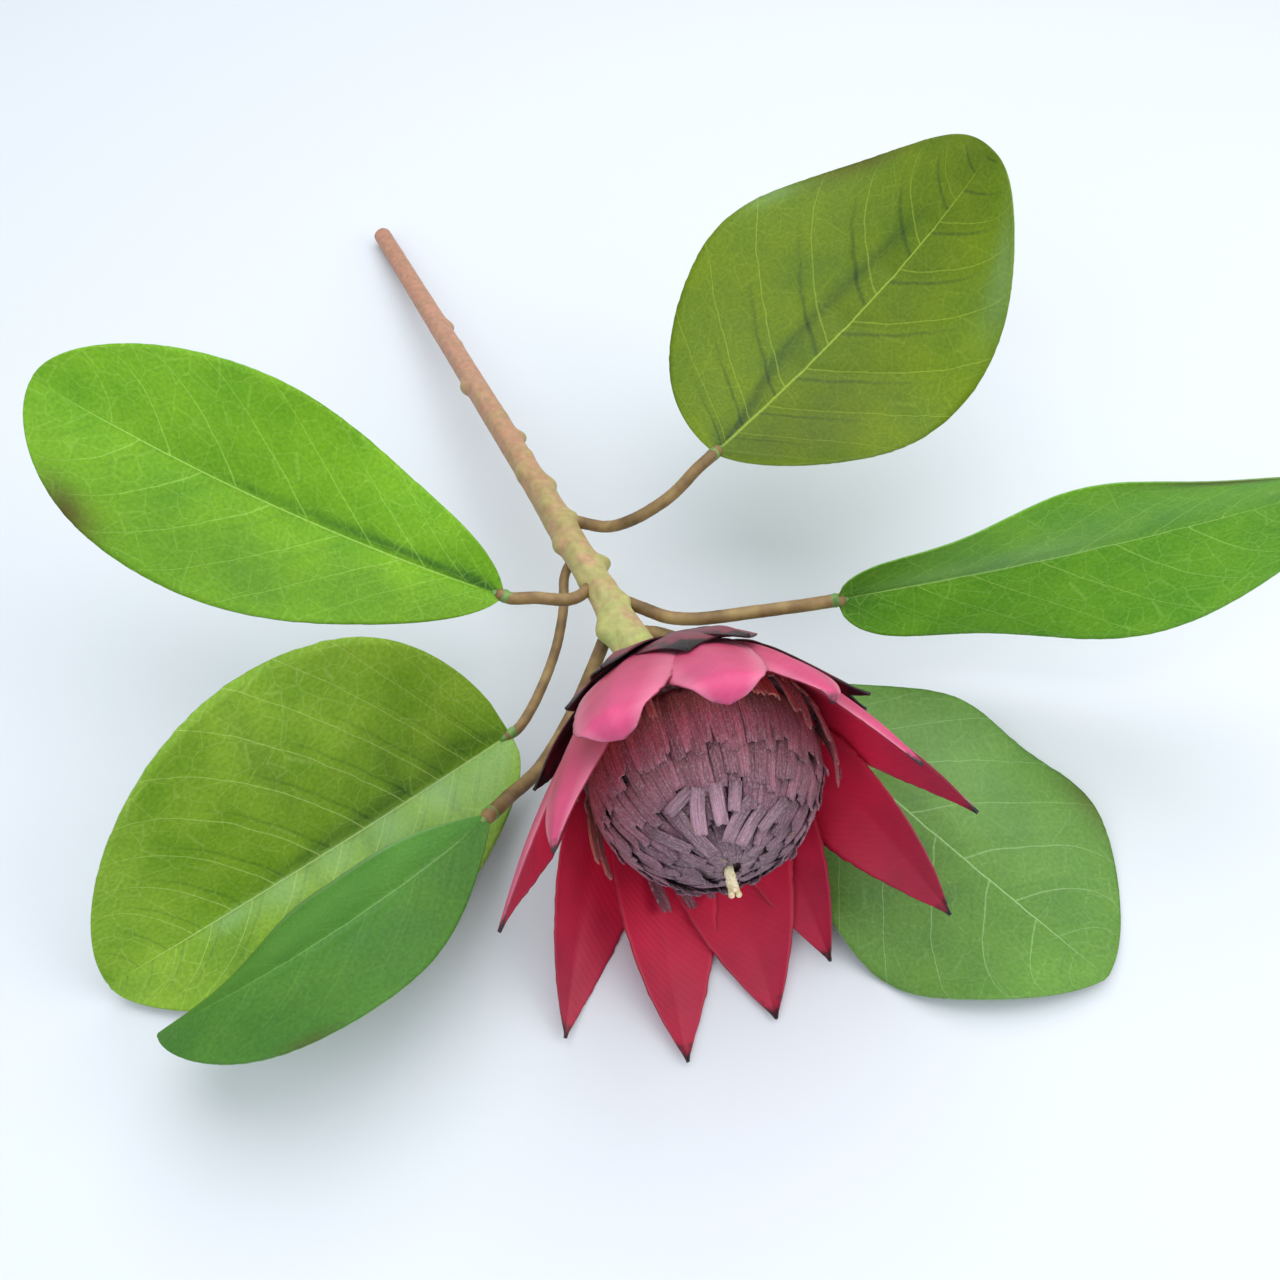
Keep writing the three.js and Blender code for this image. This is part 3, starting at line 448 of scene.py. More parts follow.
def printed_leaf_cloth(name, dark, light, vein, under, vein_show, net_show, rib_width, crease_shade, steps):
    """Printed polyester cloth: drifting green, pale midrib, side veins and net, thread ribs as bump, with
    painted shade in the creases and in spots, painted light and shade over stretches of the blade, and
    painted sheen beside the midrib. steps is how many side veins leave the midrib on each side."""
    material, node, shader = new_material(name)
    blade = node("SeparateXYZ", {0: node("UVMap", uv_map="blade")})
    along, sideways = blade.outputs["X"], blade.outputs["Y"]
    cloth = node("UVMap", uv_map="cloth")
    real_across = node("SeparateXYZ", {0: cloth}).outputs["Y"]
    drift = node("TexNoise", {"Vector": cloth, "Scale": every(TONE_DRIFT), "Detail": 4.0})
    speck = node("TexNoise", {"Vector": cloth, "Scale": every(PRINT_SPECK), "Detail": 2.0})
    tone = node("MapRange", {"Value": drift, 1: 0.2, 2: 0.8})
    ground = node("Mix", {0: tone, 6: dark, 7: light}, data_type="RGBA")

    # Side veins lie where the phase is a whole number and a half. The left side's are half a step ahead.
    wobble = node("TexNoise", {"Vector": cloth, "Scale": every(VEIN_WOBBLE), "Detail": 2.0})
    sway = node("Math", {0: wobble, 1: 0.12}, operation="MULTIPLY")
    walked = node("Math", {0: along, 1: steps, 2: sway}, operation="MULTIPLY_ADD")
    left = node("Math", {0: sideways, 1: 0.5}, operation="LESS_THAN")
    phase = node("Math", {0: left, 1: 0.5, 2: walked}, operation="MULTIPLY_ADD")
    centred = node("Math", {0: phase, 1: VEIN_OFFSET}, operation="ADD")
    part = node("Math", {0: centred, 1: 1.0}, operation="PINGPONG")
    across = node("Math", {0: sideways, 1: 0.5}, operation="SUBTRACT")
    to_edge = node("Math", {0: across}, operation="ABSOLUTE")
    fine = node("MapRange", {"Value": to_edge, 1: 0.0, 2: 0.46, 3: 0.026, 4: 0.011})
    fold_line = node("Math", {0: part, 1: 0.5}, operation="SUBTRACT")
    vein_gap = node("Math", {0: fold_line}, operation="ABSOLUTE")
    side_vein = node("MapRange", {"Value": vein_gap, 1: fine, 2: 0.0})
    # Painted shade: a thin dark line beside each printed vein, along the pressed crease, fading out towards
    # the edge.
    beside = node("Math", {0: centred, 1: MISPRINT}, operation="ADD")
    beside_part = node("Math", {0: beside, 1: 1.0}, operation="PINGPONG")
    beside_line = node("Math", {0: beside_part, 1: 0.5}, operation="SUBTRACT")
    beside_gap = node("Math", {0: beside_line}, operation="ABSOLUTE")
    crease_line = node("MapRange", {"Value": beside_gap, 1: 0.07, 2: 0.0}, interpolation_type="SMOOTHSTEP")
    near_rib = node("MapRange", {"Value": to_edge, 1: 0.42, 2: 0.14}, interpolation_type="SMOOTHSTEP")
    crease_shade_lines = node("Math", {0: crease_line, 1: near_rib}, operation="MULTIPLY")

    # Printed net: the edges between Voronoi cells, coarse branches and a fine mesh.
    branches = node("TexVoronoi", {"Vector": cloth, "Scale": every(BRANCH_MESH)}, feature="DISTANCE_TO_EDGE")
    mesh_lines = node("TexVoronoi", {"Vector": cloth, "Scale": every(NET_MESH)}, feature="DISTANCE_TO_EDGE")
    branch = node("MapRange", {"Value": branches, 1: 0.03, 2: 0.0})
    net = node("MapRange", {"Value": mesh_lines, 1: 0.1, 2: 0.0, 4: 0.3})
    both = node("Math", {0: branch, 1: net}, operation="MAXIMUM")
    net_seen = node("Math", {0: both, 1: net_show}, operation="MULTIPLY")
    tipward = node("MapRange", {"Value": along, 1: 0.96, 2: 0.72, 3: 0.0, 4: vein_show})
    side_seen = node("Math", {0: side_vein, 1: tipward}, operation="MULTIPLY")

    # Midrib: real distance from the middle line, tapering towards the tip.
    off_middle = node("Math", {0: real_across}, operation="ABSOLUTE")
    rib_half = node("MapRange", {"Value": along, 3: rib_width, 4: rib_width * 0.3})
    rib = node("MapRange", {"Value": off_middle, 1: rib_half, 2: rib_width * 0.15})
    faded_out = node("MapRange", {"Value": along, 1: 1.0, 2: 0.7, 3: 0.0, 4: min(1.0, vein_show + 0.25)})
    rib_seen = node("Math", {0: rib, 1: faded_out}, operation="MULTIPLY")
    lines = node("Math", {0: net_seen, 1: side_seen}, operation="MAXIMUM")
    veins = node("Math", {0: lines, 1: rib_seen}, operation="MAXIMUM")

    # The colours lie over one another: ground, painted shade (crease lines and spots), veins, print specks
    # with painted light and shade, blushes, painted sheen with pale print, underside.
    # painted shade spots, with some of the print's own dark green, and leaf 4's painted shadow line by its
    # fold
    shade_and_dark_print = node("Attribute", attribute_name="shade_and_dark_print")
    shaded = node("Math", {0: crease_shade_lines, 1: crease_shade, 2: shade_and_dark_print}, operation="MULTIPLY_ADD", use_clamp=True)
    red, green, blue, _ = linear(dark)
    # painted shade: the colour of the crease lines and the shaded spots, darker and bluer than the ground
    shade_colour = (red * 0.35, green * 0.42, blue * 0.8 + 0.008, 1)  # darker and bluer than the ground
    ground_in_shade = node("Mix", {0: shaded, 6: ground, 7: shade_colour}, data_type="RGBA")
    veined = node("Mix", {0: veins, 6: ground_in_shade, 7: vein}, data_type="RGBA")
    grain = node("MapRange", {"Value": speck, 1: 0.3, 2: 0.7, 3: 0.87, 4: 1.13})
    # painted light and shade: stretches of the blade lighter or darker for the way they face the light, times
    # the print's specks
    painted_light_tone = node("Attribute", attribute_name="painted_light_tone")
    specks_and_light = node("Math", {0: grain, 1: painted_light_tone}, operation="MULTIPLY")
    specked_and_lit = node("VectorMath", {0: veined, "Scale": specks_and_light}, operation="SCALE")
    blush = node("Attribute", attribute_name="blush")
    browned = node("Mix", {0: blush, 6: specked_and_lit, 7: "#4A3416"}, data_type="RGBA")
    # painted sheen and painted light, with some pale print, mixed towards a pale grey-green
    sheen_and_pale_print = node("Attribute", attribute_name="sheen_and_pale_print")
    sheened_and_paled = node("Mix", {0: sheen_and_pale_print, 6: browned, 7: "#94B886"}, data_type="RGBA")
    below = node("Attribute", attribute_name="under")
    back = node("Mix", {0: rib, 6: under, 7: vein}, data_type="RGBA")
    turned = node("Mix", {0: below, 6: sheened_and_paled, 7: back}, data_type="RGBA")

    # Threads: bands across the cloth, and the veins stand a little proud.
    threads = node("TexWave", {"Vector": cloth, "Scale": every(THREAD_PITCH) * BAND, "Distortion": 0.6},
                   bands_direction="DIAGONAL")
    weave = node("Math", {0: threads, 1: 0.5, 2: veins}, operation="MULTIPLY_ADD")
    bump = node("Bump", {"Height": weave, "Strength": 0.35, "Distance": 0.00012})
    dull = node("MapRange", {"Value": drift, 1: 0.3, 2: 0.7, 3: 0.5, 4: 0.64})
    fill(shader, {"Base Color": turned, "Normal": bump, "Roughness": dull, "Specular IOR Level": 0.25})
    return material


LEAF_CLOTH = {
    # leaf: dark, light, veins, underside; how strongly side veins and net show; half width of the midrib
    # (m); how dark the painted shade in the pressed creases is
    1: ("#599412", "#7DB021", "#B0DC66", "#7FA968", 0.5, 0.2, 0.0006, 0.12),
    2: ("#5C8A16", "#8CB032", "#C2D87E", "#8BA36C", 0.55, 0.17, 0.0006, 0.3),
    3: ("#376B23", "#4D7C2A", "#7CA85E", "#86A57B", 0.2, 0.07, 0.0004, 0.12),
    4: ("#4B6808", "#6A800E", "#A8C048", "#86A062", 0.38, 0.1, 0.0008, 0.5),
    5: ("#4D9012", "#74AD24", "#B0DC6C", "#7FA968", 0.55, 0.24, 0.0004, 0.12),
    6: ("#4D792F", "#68913C", "#A0C288", "#8CA880", 0.5, 0.12, 0.0007, 0.12),
}
leaf_cloth = {
    number: printed_leaf_cloth(f"printed_polyester_leaf_{number}", *looks, steps=LEAVES[number]["veins"])
    for number, looks in LEAF_CLOTH.items()
}
print("leaf materials:", sorted(m.name for m in leaf_cloth.values()))

# %% [markdown]
# ## Leaves: the pieces
#
# Blushes are soft ovals in the blade's own parameters: a place along and across, a size, and a strength.
# They are written to the vertices, because each one belongs to one spot of one leaf. The painted shade,
# painted light and painted sheen are soft ovals of the same kind.

# %% Leaf blades
BLUSHES = {
    # leaf: (along, across, size along, size across, strength)
    1: [(0.82, -0.97, 0.065, 0.2, 0.85)],
    2: [(0.62, -0.9, 0.1, 0.12, 0.25)],
    3: [(0.66, -1.0, 0.06, 0.1, 0.5)],
    4: [(0.78, -1.0, 0.1, 0.13, 0.6), (0.3, 0.5, 0.3, 0.5, 0.12)],
    5: [(0.82, -1.0, 0.14, 0.09, 0.85)],
    6: [(0.7, -1.0, 0.08, 0.12, 0.5)],
}
PAINTED_LIGHT_TONES = {
    # painted light and shade: where a blade is painted lighter (above 0) or darker than the leaf's mean,
    # for the way its halves face the light
    1: [(0.5, 0.7, 0.6, 0.5, 0.14), (0.45, -0.7, 0.6, 0.5, -0.28), (0.95, 0.0, 0.2, 1.0, 0.08)],
    2: [(0.9, 0.5, 0.2, 0.8, 0.08), (0.3, 0.25, 0.3, 0.3, -0.12), (0.5, -0.5, 0.5, 0.3, -0.12)],
    3: [(0.5, 0.7, 0.6, 0.6, 0.42), (0.7, -0.5, 0.3, 0.4, -0.08)],
    4: [(0.72, 0.8, 0.3, 0.45, 0.5), (0.1, 0.5, 0.25, 0.5, -0.25), (0.5, -0.95, 0.4, 0.25, 0.12)],
    5: [(0.8, 0.0, 0.3, 1.0, 0.1), (0.55, -0.7, 0.4, 0.5, 0.2)],
    6: [(0.3, 0.5, 0.4, 0.5, -0.28), (0.95, 0.5, 0.15, 0.6, 0.15), (0.4, -0.6, 0.4, 0.4, 0.1)],
}
SHEEN_AND_PALE_PRINT = {
    # where it is paler: painted sheen in bands beside the midrib with some pale print, painted light on
    # halves that face away from the light, and paler stretches of the edge
    2: [(0.08, -0.3, 0.14, 0.6, 0.4), (0.22, -0.1, 0.05, 0.28, 0.4), (0.34, -0.12, 0.06, 0.24, 0.45),
        (0.47, -0.1, 0.06, 0.2, 0.4), (0.6, -0.08, 0.06, 0.17, 0.42), (0.72, -0.06, 0.05, 0.12, 0.4)],
    3: [(0.25, 1.0, 0.28, 0.06, 0.7), (0.6, 1.0, 0.2, 0.05, 0.6), (0.45, 0.55, 0.45, 0.5, 0.12)],
    4: [(0.6, -0.99, 0.06, 0.05, 0.3), (0.8, 0.9, 0.12, 0.15, 0.3)],
    5: [(0.2, -0.15, 0.13, 0.3, 0.26), (0.42, -0.12, 0.14, 0.25, 0.3), (0.6, -0.4, 0.3, 0.4, 0.12)],
    6: [(0.4, -0.5, 0.35, 0.4, 0.2)],
}
# leaves 2 and 5: their painted sheen band stops at the midrib's sharp fold
SHARP = {2, 5}  # leaves whose pale band ends at the sharp fold of the midrib
SHADE_AND_DARK_PRINT = {
    # painted shade where it is darker: near the foot, along the midrib's fold and in some of the creases,
    # together with some of the print's own dark green
    1: [(0.04, 0.2, 0.09, 0.2, 0.9), (0.2, 0.12, 0.14, 0.07, 0.75), (0.36, 0.08, 0.1, 0.045, 0.5),
        (0.54, 0.05, 0.08, 0.04, 0.4)],
    2: [(0.1, 0.14, 0.1, 0.1, 0.5), (0.3, 0.06, 0.14, 0.06, 0.6), (0.52, 0.04, 0.14, 0.04, 0.5),
        (0.5, 0.6, 0.03, 0.3, 0.3), (0.28, 0.2, 0.02, 0.16, 0.35), (0.2, -0.4, 0.015, 0.4, 0.35),
        (0.4, -0.2, 0.012, 0.2, 0.35), (0.53, -0.15, 0.012, 0.18, 0.3)],
    4: [(0.03, -0.2, 0.06, 0.2, 0.5), (0.1, -0.05, 0.1, 0.05, 0.3), (0.4, -0.1, 0.3, 0.1, 0.15)],
    5: [(0.02, 0.0, 0.07, 1.2, 0.55), (0.15, -0.9, 0.16, 0.5, 0.25), (0.3, -0.03, 0.16, 0.04, 0.35)],
    6: [(0.05, 0.2, 0.06, 0.2, 0.3), (0.35, 0.5, 0.3, 0.45, 0.18), (0.38, 0.3, 0.02, 0.2, 0.35),
        (0.5, 0.3, 0.02, 0.2, 0.3), (0.62, 0.28, 0.018, 0.16, 0.25), (0.3, -0.25, 0.015, 0.2, 0.3)],
}


def soft_spots(spots, u, v):
    """Sum of oval bell shapes: strength * exp(-(du / size)^2 - (dv / size)^2), kept between -1 and 1."""
    total = np.zeros_like(u)
    for along, across, du, dv, strength in spots:
        total += strength * np.exp(-(((u - along) / du) ** 2) - ((v - across) / dv) ** 2)
    return np.clip(total, -1, 1)


for number, leaf in LEAVES.items():
    blade, x, u, v, width, pressed = leaf_surface(leaf, seed=number)
    # painted shadow along leaf 4's pressed fold, wider on the side towards the midrib
    shadow = np.exp(-((pressed / np.where(pressed < 0, 0.02, 0.07)) ** 2)) * np.clip((0.85 - u) / 0.15, 0, 1)
    fold_shadow_line = 2.6 * leaf["press"] * (leaf["press"] > 0.1) * shadow  # leaf 4's dark line by its fold
    sheen_and_pale_print = soft_spots(SHEEN_AND_PALE_PRINT.get(number, []), u, v) * ((v < 0.004) | (number not in SHARP))
    shade_and_dark_print = np.clip(soft_spots(SHADE_AND_DARK_PRINT.get(number, []), u, v) + fold_shadow_line, 0, 1)
    shell = thicken(blade, LEAF_THICKNESS).reshape(-1, 3)
    make_piece(
        f"leaf_blade_{number}", shell, outward(shell, sheet_faces(*u.shape)), leaf_cloth[number],
        [f"leaf_{number}"],
        uv={
            "blade": np.stack([on_both(vein_place(x, v)), on_both(v) / 2 + 0.5], -1),
            "cloth": np.stack([on_both(u) * leaf["length"], on_both(v * width)], -1) / 1000,
        },
        attributes={
            "blush": on_both(soft_spots(BLUSHES[number], u, v)),
            "sheen_and_pale_print": on_both(sheen_and_pale_print),
            "shade_and_dark_print": on_both(shade_and_dark_print),
            "painted_light_tone": on_both(1 + soft_spots(PAINTED_LIGHT_TONES[number], u, v)),
            "under": np.repeat([0.0, 1.0], u.size),
        },
        smooth=is_smooth(*u.shape),
    )
print("leaf blades:", 2 * u.size, "points each")

# %% [markdown]
# ## Rods: smooth paths
#
# The stem, the stalks and the glue collars are rods. Their centre lines go smoothly through a few measured
# points. The curve used here is the same one as in the CAD, a Catmull-Rom spline with centripetal knots,
# which makes no loops between points that lie close together.

# %% Paths and rods
END_BULGE = 0.5  # a rod's end is a smaller ring, this share of the end's radius further on
END_SHARE = 0.62  # and this share of its size


def smooth_path(knots, count):
    """Points at even distances on a centripetal Catmull-Rom curve through the knots, with their tangents.
    Each span is a cubic whose end slopes come from the neighbours, with knot gaps of distance ** 0.5."""
    p = np.asarray(knots, float)
    p = np.concatenate([[2 * p[0] - p[1]], p, [2 * p[-1] - p[-2]]])
    gap = np.linalg.norm(np.diff(p, axis=0), axis=1) ** 0.5
    g0, g1, g2 = gap[:-2, None], gap[1:-1, None], gap[2:, None]
    p0, p1, p2, p3 = p[:-3], p[1:-2], p[2:-1], p[3:]
    m1 = g1 * ((p1 - p0) / g0 - (p2 - p0) / (g0 + g1) + (p2 - p1) / g1)
    m2 = g1 * ((p2 - p1) / g1 - (p3 - p1) / (g1 + g2) + (p3 - p2) / g2)
    t = np.linspace(0, 1, 40)[None, :, None]
    p1, p2, m1, m2 = (a[:, None] for a in (p1, p2, m1, m2))
    fine = p1 + m1 * t + (3 * (p2 - p1) - 2 * m1 - m2) * t**2 + (2 * (p1 - p2) + m1 + m2) * t**3
    fine = np.concatenate([fine[:, :-1].reshape(-1, 3), fine[-1:, -1]])
    walked = np.concatenate([[0], np.cumsum(np.linalg.norm(np.diff(fine, axis=0), axis=1))])
    even = np.linspace(0, walked[-1], count)
    points = np.stack([np.interp(even, walked, fine[:, k]) for k in range(3)], -1)
    return points, unit(np.gradient(points, axis=0)), walked[-1]


def rod_points(centres, tangents, radius):
    """Rings round a path: centre + radius * (cos a * side + sin a * up), with radius given for each point of
    the grid. Angle 0 lies to the left of the path's direction, and 90 degrees is on top."""
    side = unit(np.cross([0, 0, 1.0], tangents))
    up = np.cross(tangents, side)
    a = np.linspace(0, 2 * np.pi, radius.shape[1], endpoint=False)[None, :, None]
    return centres[:, None] + radius[..., None] * (np.cos(a) * side[:, None] + np.sin(a) * up[:, None])


def close_rod(rings):
    """Rings, a rounded end at each side and a pole point there, with the faces between them."""
    first, last = rings[0].mean(0), rings[-1].mean(0)
    behind = unit(first - rings[1].mean(0)) * np.linalg.norm(rings[0][0] - first) * END_BULGE
    ahead = unit(last - rings[-2].mean(0)) * np.linalg.norm(rings[-1][0] - last) * END_BULGE
    start = first + (rings[0] - first) * END_SHARE + behind
    end = last + (rings[-1] - last) * END_SHARE + ahead
    poles = [first + behind * 1.25, last + ahead * 1.25]
    return closed_rings(np.concatenate([start[None], rings, end[None]]), poles)


print("a path through three knots:", smooth_path([(0, 0, 0), (10, 0, 0), (20, 5, 0)], 5)[0].round(1).tolist())

# %% [markdown]
# ## Leaf stalks and their glue collars
#
# A stalk is a wire in an olive-brown plastic coating, drawn on by a machine, so it is matt and slightly
# lumpy. It is pressed into the stem, and at the other end the leaf's foot is wrapped round it and fixed
# with a blob of pale glue. Both are rods with a gently uneven radius.

# %% Stalk and collar materials
def mottled(name, patch_mm, stops, lump_mm, rise, bump_strength, roughness, ior=1.5, patch_detail=3.0,
            lump_detail=3.0):
    """A matt skin: patches of a few colours, and lumps that rise by so many metres, at two real sizes."""
    material, node, shader = new_material(name)
    place = node("TexCoord").outputs["Object"]
    patches = node("TexNoise", {"Vector": place, "Scale": every(patch_mm), "Detail": patch_detail})
    tint = node("ValToRGB", {0: patches}, stops=stops)
    lumps = node("TexNoise", {"Vector": place, "Scale": every(lump_mm), "Detail": lump_detail})
    bump = node("Bump", {"Height": lumps, "Strength": bump_strength, "Distance": rise})
    fill(shader, {"Base Color": tint, "Normal": bump, "Roughness": roughness, "IOR": ior})
    return material


coated_wire = mottled(
    "matt_coated_wire", 9, [(0.32, "#66502F"), (0.5, "#866B43"), (0.68, "#A08757")], 1.4, 0.0003, 0.5, 0.55,
    ior=1.46, patch_detail=4.0,
)
glue = mottled(
    "pale_glue_collar", 4, [(0.35, "#547E34"), (0.65, "#749C50")], 2, 0.0004, 0.6, 0.4, lump_detail=2.0,
)
print("stalk materials:", coated_wire.name, glue.name)

# %% Stalks and collars
STALKS = {
    # leaf: radius, and the points that the wire goes through (mm)
    1: (2.1, [(-15.5, 279, 34.5), (-18.4, 269.8, 35.6), (-23.5, 265.3, 37.2), (-34.6, 264.4, 39.2)]),
    2: (1.7, [(-21.5, 292, 31), (-25.9, 284, 27.5), (-26.1, 272.2, 24.5), (-28.5, 256.1, 21),
              (-35, 236.8, 17.6)]),
    3: (2.3, [(-8.5, 262, 33), (-14.5, 250, 24), (-22, 235, 15.5), (-31.5, 214, 16), (-40, 196, 27.5)]),
    4: (2.1, [(-24, 306, 31), (-12.2, 300.9, 33.5), (-5.6, 298.3, 38.2), (2, 297.6, 44.2), (11, 299.6, 51.2),
              (19.5, 305.5, 57.8)]),
    5: (2.2, [(-11, 269.5, 34.8), (0.5, 263.2, 35.4), (9.2, 258.2, 36.8), (18.2, 256.3, 38.3),
              (38, 257.8, 40.2), (56, 259.8, 41.6)]),
    6: (2.1, [(-1.5, 253.5, 35), (6, 256.5, 30.5), (16, 256, 25.5), (28, 250.5, 21), (38, 244.5, 18.8)]),
}
WIRE_ROWS, WIRE_ROUND = 90, 16
COLLAR_REACH = (-2.8, 3.4)  # mm from the leaf's foot, along its midrib
COLLAR_ROWS, COLLAR_ROUND = 30, 20


def uneven(count, around, size, seed):
    """Smooth random waves on a rod's surface: a few sines along and round it with random phases."""
    random = np.random.default_rng(seed)
    t = np.linspace(0, 1, count)[:, None]
    a = np.linspace(0, 2 * np.pi, around, endpoint=False)[None, :]
    waves = [
        np.sin(2 * np.pi * f * t + n * a + random.uniform(0, 6.28)) * random.uniform(0.4, 1)
        for f, n in [(3, 0), (7, 1), (13, 2), (19, 1), (31, 3)]
    ]
    return 1 + size * sum(waves) / 2


for number, (radius, knots) in STALKS.items():
    foot = np.array(LEAVES[number]["base"])
    h, e = np.radians([LEAVES[number]["heading"], LEAVES[number]["climb"]])
    tangent = np.array([math.cos(e) * math.cos(h), math.cos(e) * math.sin(h), math.sin(e)])
    centres, tangents, length = smooth_path([*knots, foot - 3 * tangent, foot + 1.5 * tangent], WIRE_ROWS)
    swell = 1 + 0.1 * np.exp(-(np.linspace(0, 1, WIRE_ROWS) / 0.06) ** 2)  # where it enters the stem
    grid = radius * swell[:, None] * uneven(WIRE_ROWS, WIRE_ROUND, size=0.018, seed=40 + number)
    points, faces = close_rod(rod_points(centres, tangents, grid))
    make_piece(f"leaf_stalk_{number}", points, faces, coated_wire, [f"stalk_{number}"])
    way = np.linspace(*COLLAR_REACH, COLLAR_ROWS)
    # from 0.2 mm over the wire down to a radius of 0.9 mm on the leaf, with a slight waist at the wire's end
    taper = radius + 0.2 - (radius - 0.7) * np.clip((way + 1) / 4.4, 0, 1) ** 1.5
    taper = taper * (1 - 0.15 * np.exp(-(((way - way[0]) / 1.2) ** 2)))
    grid = taper[:, None] * uneven(COLLAR_ROWS, COLLAR_ROUND, size=0.05, seed=60 + number)
    rings = rod_points(foot + way[:, None] * tangent, np.repeat(tangent[None], COLLAR_ROWS, 0), grid)
    points, faces = close_rod(rings)
    make_piece(f"leaf_collar_{number}", points, faces, glue, [f"leaf_{number}"])
    print(f"stalk {number}: {length:.0f} mm of wire, {2 * radius:.1f} mm thick")

# %% [markdown]
# ## The stem
#
# The stem is plastic moulded over a wire, from a mould of a real twig. Its foot is dry and tan-pink, and it
# turns yellow-green towards the head, where it carries more and more buds and scars. It is a rod whose
# radius is a field on the surface: the tapering radius, long shallow ridges, and a bell-shaped bump for
# each bud.

# %% Stem sizes
STEM = np.array([  # centre line and radius, from the cut end to the neck (mm)
    (-120.1, 510.4, 3.2, 3.9), (-98.5, 461.9, 9.9, 4.1), (-77.1, 414.8, 16.0, 4.4),
    (-58.6, 373.5, 21.3, 4.6), (-42.1, 336.5, 26.0, 4.7), (-34.3, 319.1, 28.2, 5.0),
    (-27.1, 302.7, 30.3, 5.4), (-20.5, 287.6, 32.2, 5.2), (-13.4, 272.5, 34.1, 5.1),
    (-7.5, 258.6, 35.9, 5.6), (-3.4, 248.6, 37.0, 6.6), (-1.3, 243.8, 37.4, 7.0),
])
BUDS = [
    # along (0 cut end, 1 neck), round (degrees: 0 left, 90 on top, 180 right), height and half length in mm
    (0.3, 185, 1.5, 4.0), (0.455, 5, 1.9, 4.0), (0.59, 185, 2.2, 3.4), (0.67, 40, 1.4, 4.0),
    (0.7, 175, 1.9, 4.5), (0.745, 70, 1.6, 4.0), (0.775, 150, 1.6, 4.0), (0.81, 10, 1.6, 4.0),
    (0.86, 178, 3.4, 3.6), (0.965, 15, 3.4, 6.5), (0.36, 120, 0.7, 3.0), (0.5, 60, 0.8, 3.0),
    (0.55, 110, 0.8, 3.0), (0.64, 120, 1.0, 3.0), (0.72, 110, 1.0, 3.0), (0.79, 95, 1.1, 3.0),
    (0.84, 60, 1.1, 3.5), (0.9, 110, 1.2, 3.5), (0.93, 160, 1.4, 4.0), (0.88, 20, 1.2, 4.0),
]
HEAD_CENTRE = np.array([18.5, 195.3, 44.6])  # layout mm
NECK_AXIS = unit(np.array([0.362, -0.919, 0.15]))
stem_knots = np.concatenate([[0], np.cumsum(np.linalg.norm(np.diff(STEM[:, :3], axis=0), axis=1))])
print(f"stem: {stem_knots[-1]:.0f} mm long, {2 * STEM[0, 3]:.1f} to {2 * STEM[-1, 3]:.1f} mm thick")

# %% Stem material
moulded_bark, node, shader = new_material("moulded_plastic_bark")
place = node("TexCoord").outputs["Object"]
along = node("Attribute", attribute_name="along")
drift = node("TexNoise", {"Vector": place, "Scale": every(11), "Detail": 5.0})
moved = node("Math", {0: drift, 1: 0.5}, operation="SUBTRACT")
mixed = node("Math", {0: moved, 1: 0.34, 2: along}, operation="MULTIPLY_ADD")
bark = node("ValToRGB", {0: mixed}, stops=[(0.0, "#AE7F66"), (0.42, "#B38A70"), (0.62, "#B08E66"),
                                           (0.78, "#AA9863"), (0.92, "#ACA76A"), (1.0, "#A9AF68")])
blotch = node("TexNoise", {"Vector": place, "Scale": every(5.5), "Detail": 3.0})
pinked = node("MapRange", {"Value": blotch, 1: 0.45, 2: 0.65, 3: 0.0, 4: 0.6})
pink_bark = node("Mix", {0: pinked, 6: bark, 7: "#BC8470"}, data_type="RGBA")
raised = node("Attribute", attribute_name="bud")
greened = node("Math", {0: raised, 1: 0.45}, operation="MULTIPLY")
buds = node("Mix", {0: greened, 6: pink_bark, 7: "#A8A660"}, data_type="RGBA")
grime = node("TexNoise", {"Vector": place, "Scale": every(2.5), "Detail": 4.0})
dusty = node("MapRange", {"Value": grime, 1: 0.35, 2: 0.65, 3: 0.86, 4: 1.08})
worn = node("VectorMath", {0: buds, "Scale": dusty}, operation="SCALE")
bump = node("Bump", {"Height": grime, "Strength": 0.6, "Distance": 0.0005})
fill(shader, {"Base Color": worn, "Normal": bump, "Roughness": 0.58, "IOR": 1.46})
print("stem material:", moulded_bark.name)

# %% Stem and neck
STEM_ROWS, STEM_ROUND = 420, 48
BUD_SPREAD = 34  # degrees round the stem
RIDGES = ((0.12, 5, 6), (0.08, 9, -11))  # height (mm), how many round the stem, turn on the way (radians)
centres, tangents, stem_length = smooth_path(STEM[:, :3], STEM_ROWS)
t = np.linspace(0, 1, STEM_ROWS)[:, None]
a = np.linspace(0, 360, STEM_ROUND, endpoint=False)[None, :]
radius = np.interp(t, stem_knots / stem_knots[-1], STEM[:, 3]) * np.ones_like(a)
ridges = sum(height * np.sin(np.radians(a) * number + turn * t) for height, number, turn in RIDGES)
bud_field = np.zeros_like(radius)
for along_at, round_at, height, half_length in BUDS:
    turn = (a + round_at) % 360 - 180  # the rod's own angles run the other way round, from the right
    reach = (t - along_at) * stem_length
    sharp = np.where(reach > 0, 0.55, 1.0)  # a bud's front end is steeper than its foot
    bud_field += height * np.exp(-((reach / half_length / sharp) ** 2) - (turn / BUD_SPREAD) ** 2)
knobbly = uneven(STEM_ROWS, STEM_ROUND, 0.012, 7) * uneven(STEM_ROWS, STEM_ROUND, 0.02, 8) ** t
radius = radius * knobbly + ridges * (0.4 + 0.8 * t) + bud_field
points, faces = close_rod(rod_points(centres, tangents, radius))
points[:, 2] = np.maximum(points[:, 2], 0.0)  # the cut end rests on a small flat
